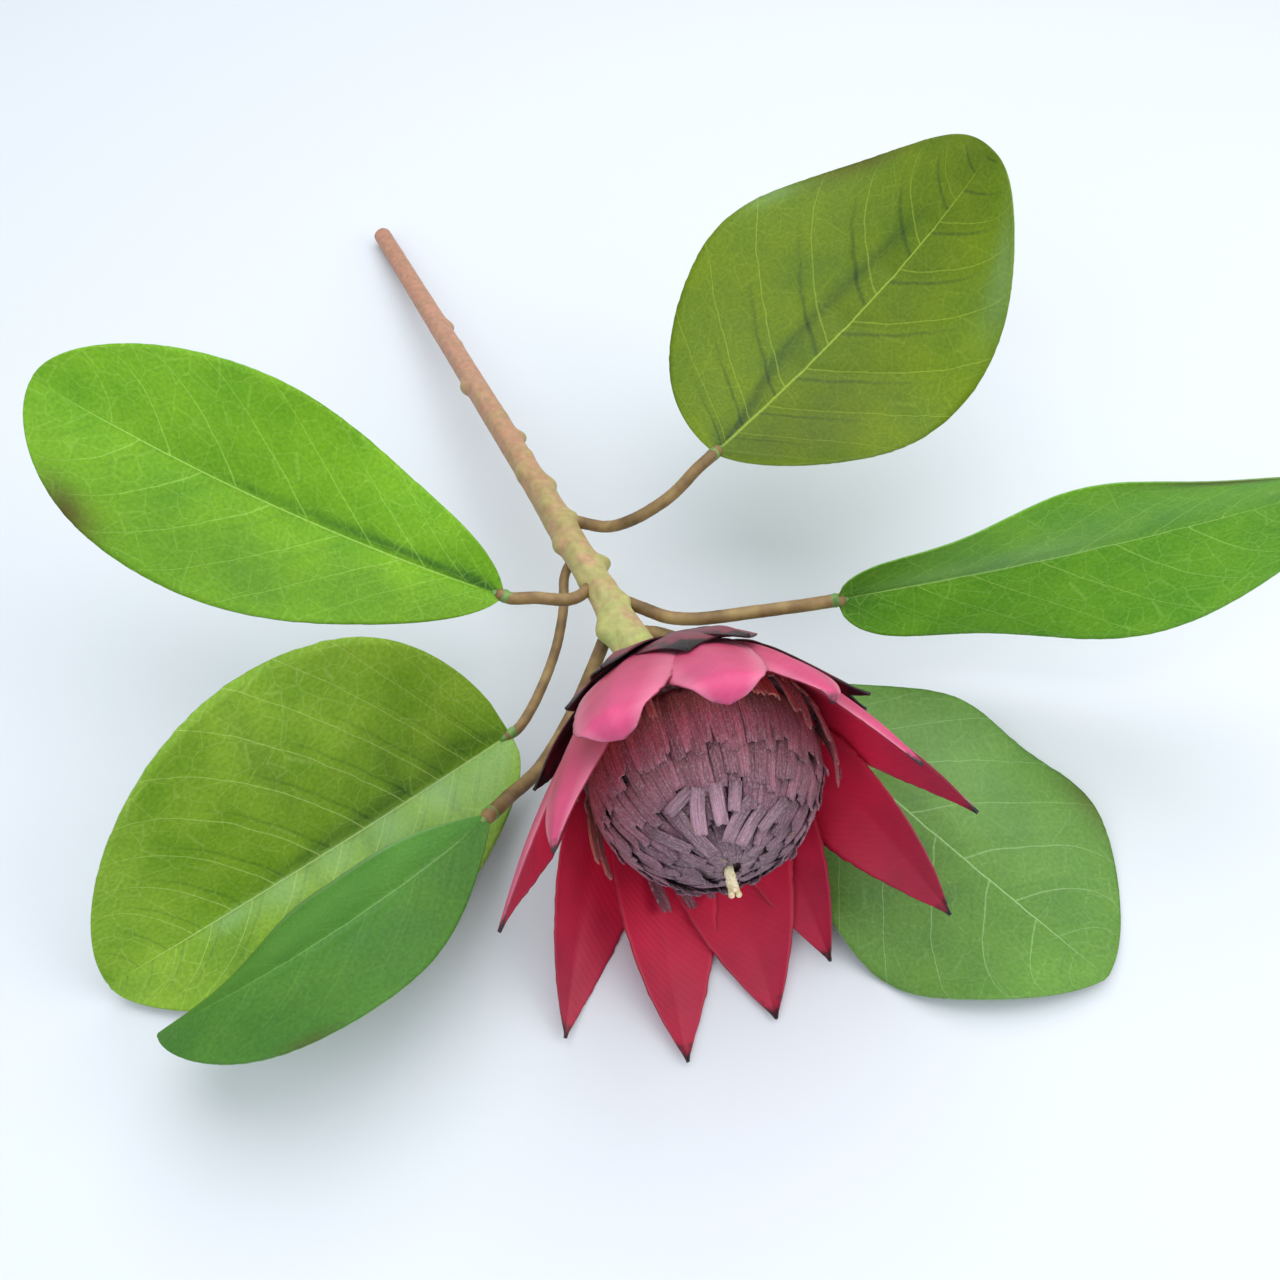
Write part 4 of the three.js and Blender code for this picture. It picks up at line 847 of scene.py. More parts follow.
on_stem = {"along": t * np.ones_like(a), "bud": np.clip(bud_field / 1.5, 0, 1)}
for key, field in on_stem.items():
    rings = np.concatenate([field[:1], field, field[-1:]])  # end rings and poles take the nearest value
    on_stem[key] = np.append(rings, [field[0, 0], field[-1, 0]])
make_piece("stem_bark", points, faces, moulded_bark, ["stem"], attributes=on_stem)
print("stem:", len(points), "points,", len(BUDS), "buds")

# %% [markdown]
# ## The neck, and shapes on a lathe
#
# At its end the moulded stem swells into a green dish that carries the head. The dish, the ball inside the
# dome and the bowls behind the bracts are all round about an axis, as if turned on a lathe: a profile is
# carried round. The neck's rim is scalloped, like the scales of a real flower's base.

# %% Neck
NECK_PROFILE = np.array([  # distance from the neck's axis, place along it from the dome's centre (mm)
    (0, -53.5), (5.2, -53.4), (6.9, -52), (7.5, -50), (8.4, -48), (9.6, -46.5), (11.4, -45.2), (13, -44.3),
    (14.3, -43), (14.6, -41.6), (14.0, -40.3), (10.0, -41.4), (5.0, -42.2), (0, -42.5),
])
NECK_ROUND = 48


def lathe(profile, centre, right, up, axis, around=64, swell=1.0):
    """A profile (distance from the axis, place on it) turned round the axis. swell multiplies the distances
    and may change round the axis. Both ends of the profile lie on the axis and are the pole points."""
    r, z = np.asarray(profile, float).T
    angle = np.linspace(0, 2 * np.pi, around, endpoint=False)[:, None]
    out = np.sin(angle) * right + np.cos(angle) * up
    rings = centre + (r[1:-1, None] * swell)[..., None] * out + z[1:-1, None, None] * axis
    return closed_rings(rings, centre + z[[0, -1], None] * axis)


fine_profile = smooth_path(np.c_[NECK_PROFILE, np.zeros(len(NECK_PROFILE))], 40)[0][:, :2]
neck_side = unit(np.cross([0, 0, 1.0], NECK_AXIS))
neck_up = np.cross(NECK_AXIS, neck_side)
angle = np.linspace(0, 2 * np.pi, NECK_ROUND, endpoint=False)
scales = 1 + 0.05 * np.sin(6 * angle + 1.5) + 0.03 * np.sin(11 * angle)
points, faces = lathe(fine_profile, HEAD_CENTRE, neck_up, neck_side, NECK_AXIS, NECK_ROUND, scales)
make_piece(
    "stem_neck", points, faces, moulded_bark, ["stem"],
    attributes={"along": np.full(len(points), 0.97), "bud": np.full(len(points), 0.25)},
)
print("neck:", len(points), "points")

# %% [markdown]
# ## The head's own frame, and the bracts' shape
#
# The head looks towards the viewer, a little up and to the right. Its pieces are worked out in its own
# frame: Z is the way it looks, Y its up and X its right, from the centre of the dome.
#
# A bract is one pointed piece of stiffened cloth. It leaves the neck, hugs the dome's cup like an orange
# segment, and runs on straight from where it stops touching the cup to its tip. Its section is curved like
# the cup at its root and tighter towards the tip.

# %% Bract surface
HEAD_RIGHT = np.array([0.978, 0.206, 0.0])
HEAD_UP = np.array([-0.025, 0.117, 0.993])
HEAD_AXIS = np.array([0.205, -0.971, 0.12])
TUCK_RADIUS = 4.2  # mm
LAYER_STEP = 0.85  # mm between two layers of bracts
RIPPLE, KEEL, EDGE_DROP = 2.2, 0.5, 0.8  # mm: waves of the edge, fold along the middle, droop of the edge


def from_head(points):
    """Points in the head's frame (x right, y up, z forward) to layout points."""
    return HEAD_CENTRE + points @ np.stack([HEAD_RIGHT, HEAD_UP, HEAD_AXIS])


def bract_surface(size, ball, root_angle, curl, seed, rows=57, columns=19):
    """A bract's points for u along and v across. The centre line runs on a ball up to the point where the
    straight way to the tip touches it, then straight with a slight bow. The section is an arc. With a tuck,
    the cloth goes on past that tip by so many mm and rolls in under itself, on an arc of TUCK_RADIUS."""
    front, out, clock, width, layer, tip_turn, tuck = size
    ball = ball + layer * LAYER_STEP
    u = np.linspace(0, 1, rows)[:, None] * np.ones(columns)
    v = np.ones((rows, 1)) * np.linspace(-1, 1, columns)[None]
    reach = math.hypot(front, out)
    touch = math.atan2(out, front) + math.acos(ball / reach)
    hug = math.pi - math.radians(root_angle) - touch
    straight = math.sqrt(reach**2 - ball**2)
    lean = touch - math.pi / 2
    shown = ball * hug + straight
    d = u * (shown + tuck)
    past = np.maximum(d - shown, 0) / TUCK_RADIUS  # radians turned on the tuck's arc
    on_ball = d < ball * hug
    a = math.pi - math.radians(root_angle) - d / ball
    e = np.clip((d - ball * hug) / straight, 0, 1)
    bow = curl * e * (1 - e) * 4 + tip_turn * np.maximum(e - 0.72, 0) ** 2 * 12
    r = np.where(on_ball, ball * np.sin(a),
                 ball * math.sin(touch) + e * straight * math.sin(lean) - bow * math.cos(lean))
    z = np.where(on_ball, ball * np.cos(a),
                 ball * math.cos(touch) + e * straight * math.cos(lean) + bow * math.sin(lean))
    run = np.where(on_ball, a - math.pi / 2, lean - curl * 4 * (1 - 2 * e) / straight)
    r = r + TUCK_RADIUS * (np.cos(run) * (np.cos(past) - 1) + np.sin(run) * np.sin(past))
    z = z + TUCK_RADIUS * (-np.sin(run) * (np.cos(past) - 1) + np.cos(run) * np.sin(past))
    run = run - past
    random = np.random.default_rng(seed)
    taper = 1 - np.maximum(0, (u - 0.5) / 0.5) ** (1.6 + 0.12 * tuck)
    fray = 1 + 0.012 * np.abs(v) ** 8 * random.normal(0, 1, rows)[:, None] * np.minimum(1, 6 * taper)
    w = np.maximum(width * np.minimum(1, 0.46 + 1.25 * u) * taper, 0.7) * fray
    bend = ball * (1 - 0.38 * u**2)
    angle = v * w / 2 / bend
    wave = 2 * np.pi * (random.uniform(0.8, 1.5) * u + random.uniform(0, 1))
    wave = wave + np.sign(v) * random.uniform(0.5, 2)
    ripple = RIPPLE * np.abs(v) ** 2.5 * u * (1 - u) * np.sin(wave)
    keel = KEEL * u * (1 - u) * 4 * np.exp(-((v / 0.16) ** 2))  # a shallow fold pressed along the middle
    drop = bend * (1 - np.cos(angle)) + EDGE_DROP * u * np.abs(v) - ripple - keel
    r = r - drop * np.cos(run)
    z = z + drop * np.sin(run)
    c = math.radians(clock)
    across = bend * np.sin(angle)
    points = np.stack([r * math.sin(c) + across * math.cos(c), r * math.cos(c) - across * math.sin(c), z], -1)
    return from_head(points), u, v, d, v * w / 2


print("head looks along", HEAD_AXIS.tolist())

# %% [markdown]
# ## Bracts: the cloth
#
# The bracts are a stiff, dyed polyester satin. The dye is deep crimson. The outside faces are painted a
# pinker, paler tone, a painted highlight for the light from above and the satin's sheen, paler still towards
# their edges. Near the dome the crimson inside is painted brighter, painted light against the dome's shade,
# and the outside is darker there; the short dark bracts are darker near the dome on both faces. The tips
# are dipped in black ink that has crept up the threads. The satin's diagonal ribs are fine, so they are
# drawn a little coarser than they are.

# %% Bract cloth
SATIN_PITCH = 0.7  # mm. The real ribs are about 0.4 mm apart, too fine to show


def dyed_satin(name, inside, inside_root, outside, outside_root, edge_dye_and_highlight, ink, ink_from, sheen, patches=0.0):
    """Dyed satin: one colour inside and one outside, the outside paler as a painted highlight, an edge colour
    towards the outside's edges (a paler painted highlight on the crimson), each face with its own colour at
    the root, and an inked tip with a ragged limit."""
    material, node, shader = new_material(name)
    cloth = node("UVMap", uv_map="cloth")
    along = node("Attribute", attribute_name="along")
    edge = node("Attribute", attribute_name="edge")
    inner = node("Attribute", attribute_name="inside")
    cloud = node("TexNoise", {"Vector": cloth, "Scale": every(14), "Detail": 4.0})
    crept = node("TexNoise", {"Vector": cloth, "Scale": every(2.2), "Detail": 3.0})
    grown = node("MapRange", {"Value": along, 1: 0.42, 2: 0.85}, interpolation_type="SMOOTHSTEP")
    dye_in = node("Mix", {0: grown, 6: inside_root, 7: inside}, data_type="RGBA")
    # painted highlight: the outside faces are paler than the inside, for the light from above and the satin's
    # sheen
    outside_dye_and_highlight = node("Mix", {0: grown, 6: outside_root, 7: outside}, data_type="RGBA")
    side = node("Math", {0: inner, 1: 0.05}, operation="GREATER_THAN")
    # painted highlight: the crimson's outside gets paler towards its edges; the wine's edges get darker
    edge_mix = node("MapRange", {"Value": edge, 1: 0.45, 2: 1.0, 3: 0.0, 4: 0.36},
                    interpolation_type="SMOOTHSTEP")
    outside_with_edge = node("Mix", {0: edge_mix, 6: outside_dye_and_highlight, 7: edge_dye_and_highlight}, data_type="RGBA")
    dye_and_highlight = node("Mix", {0: side, 6: outside_with_edge, 7: dye_in}, data_type="RGBA")
    tone = node("MapRange", {"Value": cloud, 1: 0.3, 2: 0.7, 3: 0.88, 4: 1.1})
    threads = node("TexWave", {"Vector": cloth, "Scale": every(SATIN_PITCH) * BAND, "Distortion": 0.8,
                               "Detail": 1.0, "Detail Scale": 2.0}, bands_direction="DIAGONAL")
    rib = node("MapRange", {"Value": threads, 3: 0.985, 4: 1.015})
    cut = node("MapRange", {"Value": edge, 1: 0.96, 2: 1.0, 3: 1.0, 4: 0.55})
    uneven_dye = node("Math", {0: tone, 1: rib}, operation="MULTIPLY")
    strength = node("Math", {0: uneven_dye, 1: cut}, operation="MULTIPLY")
    toned = node("VectorMath", {0: dye_and_highlight, "Scale": strength}, operation="SCALE")
    ragged = node("Math", {0: crept, 1: 0.09, 2: along}, operation="MULTIPLY_ADD")
    rim = node("Math", {0: edge, 1: 0.02, 2: ragged}, operation="MULTIPLY_ADD")
    dipped = node("MapRange", {"Value": rim, 1: ink_from, 2: ink_from + 0.045})
    stained = node("MapRange", {"Value": cloud, 1: 0.66 - 0.16 * patches, 2: 0.72 - 0.1 * patches, 3: 0.0,
                                4: 0.85 if patches else 0.0})
    inked = node("Math", {0: dipped, 1: stained}, operation="MAXIMUM")
    final = node("Mix", {0: inked, 6: toned, 7: ink}, data_type="RGBA")
    bump = node("Bump", {"Height": threads, "Strength": 0.25, "Distance": 0.0001})
    fill(shader, {"Base Color": final, "Normal": bump, "Roughness": 0.55, "IOR": 1.5, "Sheen Weight": sheen,
                  "Sheen Roughness": 0.45, "Sheen Tint": "#FFC4D6"})
    return material


# The crimson inside is painted brighter at the root: painted light against the shade that the dome gives it
# there.
crimson_satin = dyed_satin("dyed_crimson_satin", "#AA173C", "#E61C4A", "#CE4778", "#B42C56", "#E89AB0",
                           ink="#1D1217", ink_from=1.0, sheen=0.08)
wine_satin = dyed_satin("dyed_wine_satin", "#6E1A2A", "#4A1320", "#7A2238", "#64192B", "#5C2834",
                        ink="#1B1216", ink_from=0.88, sheen=0.06, patches=0.5)
print("bract materials:", crimson_satin.name, wine_satin.name)

# %% [markdown]
# ## Bracts: the pieces
#
# Twelve long bracts stand in overlapping layers round the dome, and twelve shorter, darker ones behind them
# hide where they are glued on. Three of the long ones, at the top, are tucked in under themselves. Each has
# its own reach, spread and width, and its own random ripple, because cloth that is cut and pressed by the
# dozen never sits twice in the same way. Thin bowls close the back of the head.

# %% Bracts
BRACTS = [
    # tip: in front of the dome's centre, out from the axis, clock angle (0 up); width, layer, turn of the
    # tip, and how much more cloth is tucked in under it (mm)
    (19, 63, 0, 29, 0, 0, 14), (45, 64, 44, 24, 1, 0, 0), (45, 67, 72, 34, 0, 0.5, 0),
    (47.5, 67.5, 112.5, 38, 1, 0, 0), (45.6, 51.2, 146.5, 31, 0, 0, 0), (56, 51.4, 170, 41, 1, -0.4, 0),
    (63, 55.2, -159, 36, 0, 0.3, 0), (49, 72.4, -133, 36, 1, 0, 0), (47, 66, -81, 38, 0, -0.5, 0),
    (46, 64, -51, 32, 1, 0.6, 0), (22, 67, -26.5, 31, 2, 0, 14), (22, 60, 27, 27, 1, 0, 5),
]
OUTER_BRACTS = [
    (-4, 50.5, 15, 24, 1, -1.0, 0), (5.3, 52.9, 60, 22, 0, -1.5, 0), (-2, 51, 76, 26, 1, 0, 0),
    (-10, 45, 108, 25, 0, 0, 0), (-12, 43.5, 142, 24, 1, 0, 0), (-10, 42.6, 176, 25, 0, 0, 0),
    (-5, 45.5, -149, 24, 1, 0, 0), (-4, 48, -116, 24, 0, 0, 0), (-1, 49.6, -86, 24, 1, -0.6, 0),
    (-12, 43.5, -58, 22, 0, -0.8, 0), (-9, 48.6, -33, 25, 1, -1.0, 0), (-2, 52, -5, 31, 0, 0.8, 0),
]
BRACT_THICKNESS = 0.4  # mm
BRACT_LAYERS = {
    # name: sizes, radius that the lowest layer hugs (mm), degrees from the neck's axis to its root, bow of
    # the straight part (mm), first random seed, cloth, CAD node, slot
    "inner_bract": (BRACTS, 37.9, 24, -2.2, 101, crimson_satin, "inner_bracts", "bract"),
    "outer_bract": (OUTER_BRACTS, 40.7, 17, -1.2, 201, wine_satin, "outer_bracts", "outer_bract"),
}

for kind, (sizes, radius, root_angle, curl, seed, cloth, stands_for, slot) in BRACT_LAYERS.items():
    for number, size in enumerate(sizes):
        sheet, u, v, along_mm, across_mm = bract_surface(size, radius, root_angle, curl, seed + number)
        rows, columns = u.shape
        shell = thicken(sheet, BRACT_THICKNESS)
        to_core = np.linalg.norm(shell[:, rows // 3, columns // 2] - HEAD_CENTRE, axis=-1)
        inside = np.repeat([1.0, 0.0] if to_core[0] < to_core[1] else [0.0, 1.0], rows * columns)
        shell = shell.reshape(-1, 3)
        make_piece(
            f"{kind}_{number + 1:02d}", shell, outward(shell, sheet_faces(rows, columns)), cloth,
            [stands_for], uv={"cloth": np.stack([on_both(along_mm), on_both(across_mm)], -1) / 1000},
            attributes={"along": on_both(u), "edge": on_both(np.abs(v)), "inside": inside},
            smooth=is_smooth(rows, columns),
        )
    print(kind, "pieces:", len(sizes))

# %% Bowls behind the head
HEAD_LATHE = (HEAD_CENTRE, HEAD_RIGHT, HEAD_UP, HEAD_AXIS)


def arc(radius, start, end, count):
    """Profile points on an arc about the dome's centre: degrees from the way the head looks."""
    g = np.radians(np.linspace(start, end, count))
    return np.stack([radius * np.sin(g), radius * np.cos(g)], -1)


BOWLS = {
    # name: outer and inner radius (mm), lip (degrees from the way the head looks), cloth, CAD node, slot
    "inner_bract_cup": (38.6, 37.0, 151, crimson_satin, "inner_bracts", "bract"),
    "outer_bract_cup": (42.0, 39.9, 157, wine_satin, "outer_bracts", "outer_bract"),
}
for name, (outer, inner, lip, cloth, stands_for, slot) in BOWLS.items():
    profile = np.concatenate([arc(outer, 180, lip, 14), arc(inner, lip, 180, 14)])
    points, faces = lathe(profile, *HEAD_LATHE)
    zero = np.zeros(len(points))
    make_piece(name, points, faces, cloth, [stands_for], uv={"cloth": points[:, :2] / 1000},
               attributes={"along": zero, "edge": zero, "inside": zero})
print("bowls:", list(BOWLS))

# %% [markdown]
# ## The dome
#
# The dome is a ball of foam in a coat of flat strips, the styles, cut from a hairy mauve felt. They are
# glued on in rings like roof tiles: each strip's root sits low, under the ring outside it, and its blunt
# free end stands up towards the middle of the dome. Round the rim hangs a loose skirt of redder strips. All
# strips of a ring are worked out at once as one array of small closed plates, so each strip needs only a
# few faces.

# %% Felt
FIBRE = 0.45  # mm across a fibre. Real ones are finer than a pixel
FIBRE_PLACE = (0.0, 0.0, 0.00017)  # a noise is weak in the plane z = 0 of a UV map, so it is read beside it
HAIR_PLACE = (0.0, 0.0, 0.00013)

felt, node, shader = new_material("hairy_mauve_felt")
flat = node("UVMap", uv_map="cloth")
rimward = node("Attribute", attribute_name="rimward")
tone = node("Attribute", attribute_name="tone")
root = node("Attribute", attribute_name="root")
stretched = node("Mapping", {"Vector": flat, "Location": FIBRE_PLACE, "Scale": (0.05, 1.0, 1.0)})
fibres = node("TexNoise", {"Vector": stretched, "Scale": every(FIBRE), "Detail": 2.0})
hair = node("Mapping", {"Vector": flat, "Location": HAIR_PLACE, "Scale": (0.5, 1.0, 1.0)})
frost = node("TexNoise", {"Vector": hair, "Scale": every(0.35), "Detail": 1.0})
ring_colour = node("ValToRGB", {0: rimward}, stops=[(0.0, "#7E6670"), (0.35, "#765060"), (0.6, "#905C6A"),
                                                    (0.86, "#A64E60"), (1.0, "#B06256")])
each = node("MapRange", {"Value": tone, 3: 0.71, 4: 1.24}, clamp=False)
streak = node("MapRange", {"Value": fibres, 1: 0.3, 2: 0.7, 3: 0.52, 4: 1.36})
# painted shade: each strip darker towards its root, which lies under the ring outside it
painted_root_shade = node("MapRange", {"Value": root, 3: 1.0, 4: 0.6})
one = node("Math", {0: each, 1: streak}, operation="MULTIPLY")
two = node("Math", {0: one, 1: painted_root_shade}, operation="MULTIPLY")
shaded = node("VectorMath", {0: ring_colour, "Scale": two}, operation="SCALE")
frosted = node("MapRange", {"Value": frost, 1: 0.5, 2: 0.74, 3: 0.03, 4: 0.42})
age = node("TexNoise", {"Vector": flat, "Scale": every(7), "Detail": 2.0})
yellowed = node("MapRange", {"Value": age, 1: 0.66, 2: 0.74, 3: 0.0, 4: 0.5})
aged = node("Mix", {0: yellowed, 6: shaded, 7: "#86703E"}, data_type="RGBA")
haze = node("Mix", {0: frosted, 6: aged, 7: "#C9B6C2"}, data_type="RGBA")
bump = node("Bump", {"Height": fibres, "Strength": 1.0, "Distance": 0.0004})
fill(shader, {"Base Color": haze, "Normal": bump, "Roughness": 0.95, "Sheen Weight": 0.15,
              "Sheen Roughness": 0.6, "Sheen Tint": "#D8C6D2"})
print("felt:", felt.name)

# %% Ball under the strips
CORE_RADIUS = 32.7  # mm
BACK_RADIUS = 36.4  # mm, behind the rim, where no strips make it thicker
# The ball shows only in the gaps between strips, painted as dark as their shaded roots: painted shade in
# those gaps.
BALL_SHADE = {"rimward": 0.6, "tone": 0.0, "root": 1.0}  # as dark as the roots of the strips
profile = np.concatenate([arc(CORE_RADIUS, 0, 97, 40), arc(BACK_RADIUS, 101, 180, 26)])
points, faces = lathe(profile, *HEAD_LATHE)
make_piece(
    "dome_ball", points, faces, felt, ["dome"], uv={"cloth": points[:, :2] / 1000},
    attributes={key: np.full(len(points), value) for key, value in BALL_SHADE.items()},
)
print("ball:", len(points), "points")

# %% Rings of strips
STRIP_COLUMNS = 7
STRIP_ARCH = 0.25  # mm, how far a strip's middle stands above its edges
STRIP_RIB = 0.16  # mm
STYLE_RADIUS = 34  # mm, of the ball that the strips lie on, for their lengths
STRIP_GAP = 13.7  # mm from strip to strip on the UV map, so that no two read the same fibres


def strip_ring(name, clock, drift, degrees, radii, width, thickness, tone, ragged, rimward=None):
    """Strips as closed plates. clock is each strip's place round the axis, degrees and radii (strips x rows)
    its way over the dome from root to free end, drift its turn on the way, ragged (degrees, strips x
    columns) how far each part of the free end is torn. A strip is arched and ribbed, and thin at that end.
    rimward sets the colour where the place doesn't."""
    strips, rows = degrees.shape
    grid = (strips, 2, rows, STRIP_COLUMNS)
    v = np.linspace(-1, 1, STRIP_COLUMNS)
    share = np.linspace(0, 1, rows)
    c = np.radians(clock[:, None] + drift[:, None] * share)[..., None]
    at_end = np.clip((share - 0.8) / 0.2, 0, 1)
    g = np.radians(degrees[..., None] + (at_end**2)[:, None] * ragged[:, None])
    half = (width[:, None] * (1 - 0.06 * at_end) / 2)[..., None] * v
    arch = STRIP_ARCH * (1 - v**2) + STRIP_RIB * (np.arange(STRIP_COLUMNS) % 2)
    radial = np.stack([np.sin(g) * np.sin(c), np.sin(g) * np.cos(c), np.cos(g) * np.ones_like(c)], -1)
    middle = radial[:, :, STRIP_COLUMNS // 2]
    across = unit(np.cross(middle, np.gradient(radii[..., None] * middle, axis=1)))[:, :, None]
    sheet = (radii[..., None] + arch)[..., None] * radial + half[..., None] * across
    shell = thicken(sheet, (thickness * (1 - 0.45 * at_end))[:, None]).reshape(strips, -1, 3)
    one = outward(shell[0], sheet_faces(rows, STRIP_COLUMNS))
    faces = (one[None] + (np.arange(strips) * shell.shape[1])[:, None, None]).reshape(-1, 4)
    spread = lambda field: np.broadcast_to(field, grid).reshape(-1)
    length = np.radians(np.abs(degrees[:, :1] - degrees)) * STYLE_RADIUS
    length = length + np.arange(strips)[:, None] * STRIP_GAP
    points = from_head(shell.reshape(-1, 3))
    return make_piece(
        name, points, outward(points, faces), felt, ["dome"],
        uv={"cloth": np.stack([spread(length[:, None, :, None]), spread(half[:, None])], -1) / 1000},
        attributes={
            "rimward": spread(np.clip(degrees / 90, 0, 1)[:, None, :, None] if rimward is None else rimward),
            "tone": spread(tone[:, None, None, None]),
            "root": spread((1 - np.clip(share / 0.55, 0, 1))[:, None]),
        },
        smooth=np.tile(is_smooth(rows, STRIP_COLUMNS), strips),
    )


STYLE_RINGS = [
    # free ends at (degrees from the dome's tip), reach back towards the rim (degrees), number of strips
    (4, 14, 11), (13, 22, 21), (28, 24, 37), (45, 26, 55), (63, 38, 69),
]
STYLE_WIDTH, STYLE_THICKNESS = 3.7, 0.6  # mm
STYLE_ROOT, STYLE_END, STYLE_LIFT = 0.35, 2.0, 2.2  # mm above the ball: root, free end, most at random
RIM = 98  # degrees. No strip of a ring starts beyond it
random = np.random.default_rng(11)
jitter = lambda size, count: random.uniform(-size, size, count)
torn = lambda most, count: random.uniform(0, most, (count, STRIP_COLUMNS))
sweep = lambda start, end, share: start[:, None] + (end - start)[:, None] * share

share = np.linspace(0, 1, 8)[None]
for ring_number, (end, reach, count) in enumerate(STYLE_RINGS, 1):
    clock = (np.arange(count) + jitter(0.12, count)) * 360 / count + end * 3
    ends = np.maximum(end + jitter(5.0 if end > 10 else 1.5, count), 2.0)
    starts = np.minimum(ends + reach + jitter(2, count), RIM)
    high = CORE_RADIUS + STYLE_END + jitter(0.3, count)
    low = CORE_RADIUS + STYLE_ROOT + jitter(0.2, count)
    lift = random.uniform(0, 1, count) ** 4 * STYLE_LIFT
    lifted = np.clip((share - 0.7) / 0.3, 0, 1) ** 2 * lift[:, None]
    drift = np.clip(jitter(1.3, count) / np.sin(np.radians(ends + 8)), -9, 9)
    strip_ring(f"style_ring_{ring_number}", clock, drift, sweep(starts, ends, share),
               sweep(low, high, share**0.8) + lifted, STYLE_WIDTH + jitter(0.4, count), STYLE_THICKNESS,
               random.uniform(0, 1, count), torn(1.3, count))
print("strips on the dome:", sum(count for _, _, count in STYLE_RINGS))

# %% Skirt round the rim
SKIRT = 46  # strips
SKIRT_ROOT, SKIRT_END = 102, 95  # degrees from the dome's tip
SKIRT_RADIUS, SKIRT_SWELL, SKIRT_LIFT = 36.0, 1.3, 0.8  # mm: at the root, over the rim, and at random
SKIRT_WIDTH = 3.1  # mm
share = np.linspace(0, 1, 9)[None]
clock = (np.arange(SKIRT) + jitter(0.3, SKIRT)) * 360 / SKIRT
ends = SKIRT_END + jitter(4, SKIRT)
radii = SKIRT_RADIUS + SKIRT_SWELL * np.sin(np.minimum(share * 2.2, 1.0) * np.pi / 2)
radii = radii + SKIRT_LIFT * random.uniform(0, 1, SKIRT)[:, None] * share
strip_ring("skirt_strips", clock, jitter(4, SKIRT), sweep(np.full(SKIRT, SKIRT_ROOT), ends, share), radii,
           SKIRT_WIDTH + jitter(0.5, SKIRT), STYLE_THICKNESS, random.uniform(0.4, 1, SKIRT), torn(2.5, SKIRT))
print("strips in the skirt:", SKIRT)

# %% Loose and stray strips
LOOSE = np.array([
    # clock, free end (degrees from the dome's tip), how far it stands off there (mm), width (mm), tone
    # (low for the strips that hang under the dome: painted shade), lean (degrees)
    (-114, 70, 4.0, 3.0, 1.1, -2), (-121, 65, 4.8, 3.0, 0.9, -3), (-149, 62, 9.8, 4.2, 0.1, -9),
    (-160, 63, 9.0, 3.2, 0.0, -9), (-171, 65, 7.8, 2.6, 0.0, -7), (179, 66, 6.4, 2.4, -0.1, -4),
    (167, 69, 5.4, 2.3, -0.4, 2), (158, 71, 4.6, 2.4, -0.3, 3), (79, 62, 2.6, 3.0, 0.7, 2),
    (74, 67, 3.0, 2.6, 0.6, -2), (86, 70, 2.8, 2.6, 0.5, 1), (64, 74, 2.2, 2.8, 0.7, 0),
    (15, 80, 4.2, 3.4, 1.2, 1), (21, 79, 4.6, 3.6, 1.3, 0), (27, 78, 4.4, 3.4, 1.1, -1),
    (38, 75, 3.2, 2.8, 0.8, 1), (46, 71, 2.8, 2.6, 0.7, 0), (-30, 82, 1.4, 2.0, 1.0, 0),
    (-25, 80, 1.3, 1.8, 0.9, 1),
])
LOOSE_ROOT, LOOSE_RADIUS, LOOSE_THICKNESS = 100, 36.8, 0.8  # degrees, mm, mm
count = len(LOOSE)
clock, ends, off, wide, tone, lean = LOOSE.T
radii = LOOSE_RADIUS + off[:, None] * share**1.3
redness = (0.75 + 0.25 * tone)[:, None, None, None]
strip_ring("loose_strips", clock, lean + jitter(1, count), sweep(np.full(count, LOOSE_ROOT), ends, share),
           radii, wide, LOOSE_THICKNESS, tone, torn(3, count), rimward=redness)

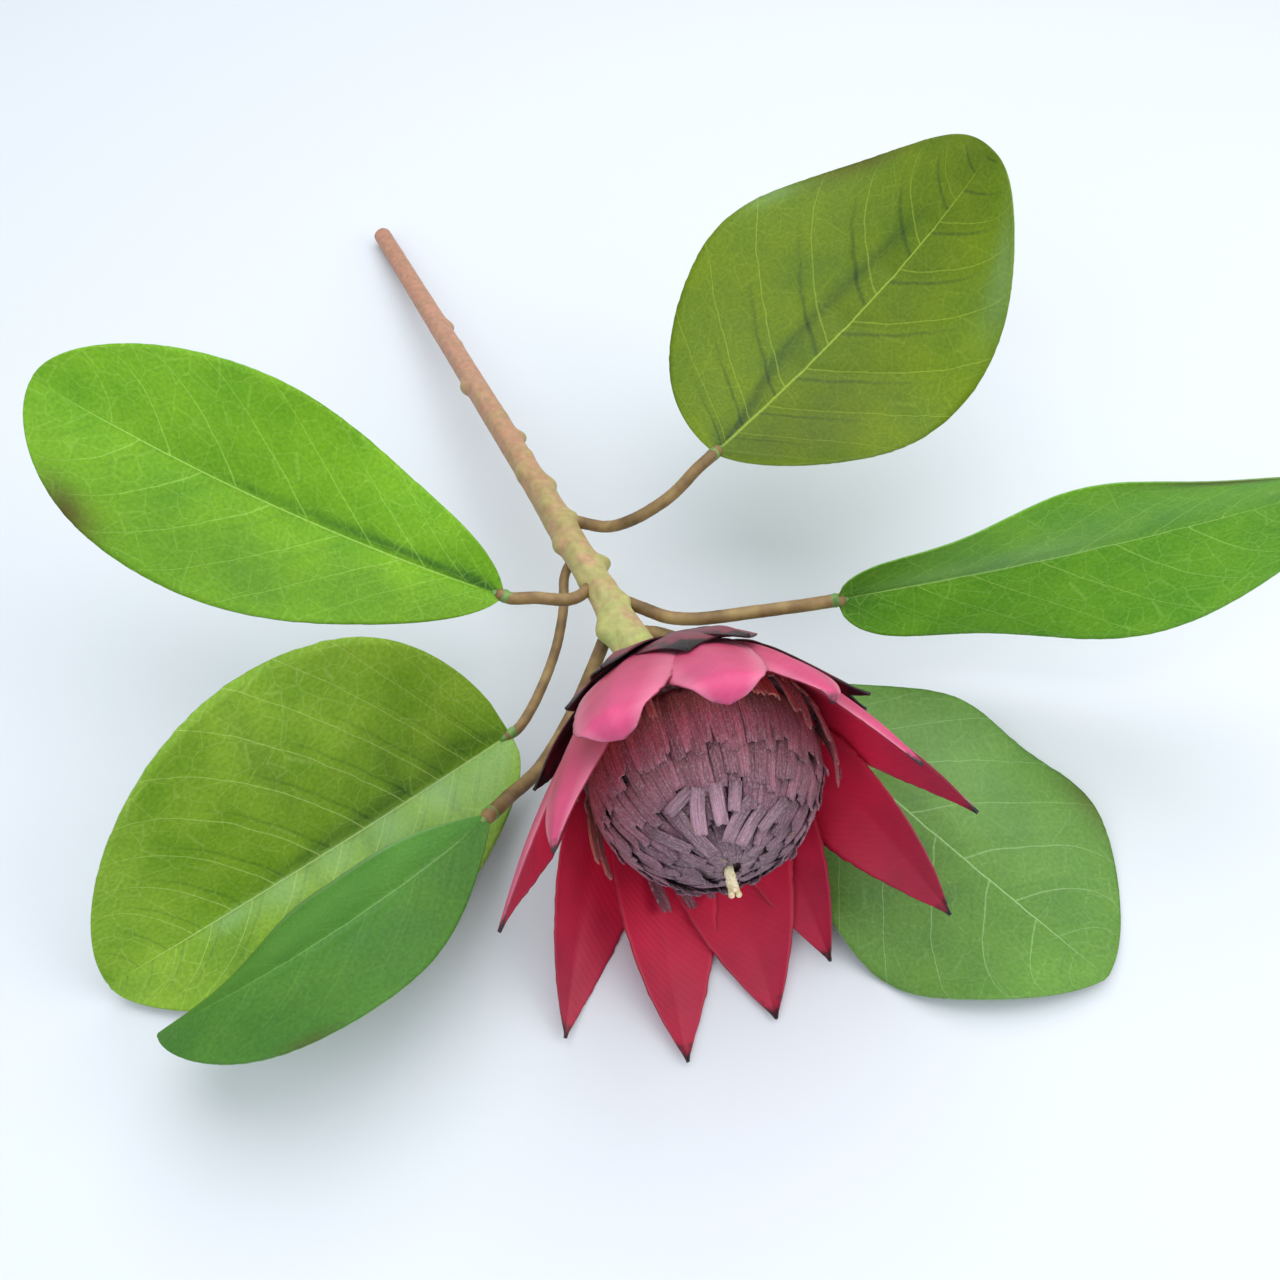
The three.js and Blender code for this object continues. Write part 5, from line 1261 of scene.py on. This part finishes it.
STRAY = np.array([
    # single strips that stand out above the dome's tip: clock and degrees from the tip for the root, then for
    # the free end, width (mm), tone
    (-17, 47, -31, 27, 3.9, 2.2), (-7, 47, -9, 28, 3.6, 2.4), (-22, 47, -41, 43, 3.4, 1.0),
    (17, 38, -8, 19, 3.8, 1.4), (-38, 42, -35, 16, 4.0, 0.9), (28, 34, 8, 16, 3.6, 1.5),
    (-62, 42, -50, 24, 3.6, 0.6), (46, 40, 30, 24, 3.4, 1.1), (6, 46, 2, 33, 3.4, 1.6),
])
STRAY_RADIUS = CORE_RADIUS + 2.3  # mm, on top of the rings
clock, starts, end_clock, ends, wide, tone = STRAY.T
radii = STRAY_RADIUS + np.linspace(1.0, 1.6, len(STRAY))[:, None] * share
strip_ring("stray_strips", clock, end_clock - clock, sweep(starts, ends, share), radii, wide, STYLE_THICKNESS,
           tone, torn(1.2, len(STRAY)), rimward=0.15)
print("strips:", len(LOOSE), "loose,", len(STRAY), "stray")

# %% [markdown]
# ## The stub in the middle
#
# A little below the middle of the dome a cream stub of three fibrous prongs sticks out, like the one style
# that opened early. The prongs are rods that leave one socket and lean apart.

# %% Cream stub
cream = mottled("cream_cotton_fibre", 1.2, [(0.35, "#C9B98C"), (0.65, "#EFE6C8")], 1.2, 0.0004, 0.6, 0.8)
PRONGS = [(-2.6, -0.6, 43.0), (-1.6, -0.1, 42.0), (-0.6, -0.5, 43.3)]  # tips: right, up, forward of the dome
PRONG_WAY = [  # shares of the tip's right and up, how far to the lower left of that, place forward (mm)
    (0.35, 0.3, 0.6, 31.8), (0.45, 0.5, 0.6, 36.0), (0.7, 0.8, 0.4, 39.8),
]
PRONG_ROWS, PRONG_ROUND = 24, 12
for number, (right, above, forward) in enumerate(PRONGS, 1):
    way = [(right * a - lean, above * b - lean, z) for a, b, lean, z in PRONG_WAY]
    knots = from_head(np.array([*way, (right, above, forward)]))
    centres, tangents, length = smooth_path(knots, PRONG_ROWS)
    taper = np.interp(np.linspace(0, 1, PRONG_ROWS), [0, 0.6, 0.9, 1], [1.1, 0.95, 0.75, 0.9])  # mm
    grid = taper[:, None] * uneven(PRONG_ROWS, PRONG_ROUND, size=0.12, seed=90 + number)
    points, faces = close_rod(rod_points(centres, tangents, grid))
    make_piece(f"stub_prong_{number}", points, faces, cream, ["stigma"])
    print(f"prong {number}: {length:.0f} mm")

# %% [markdown]
# ## Sizes, and the end
#
# Both boxes, of the CAD model and of the dressed flower, are put side by side, and the dressed one is
# printed. The dressed flower has to keep to the CAD model's size.

# %% Sizes
low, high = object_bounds()
sizes = {
    "cad": [list(cad_low), list(cad_high)],
    "visual": [list(low), list(high)],
}
print("dressed box:", [round(c, 3) for c in (*low, *high)])
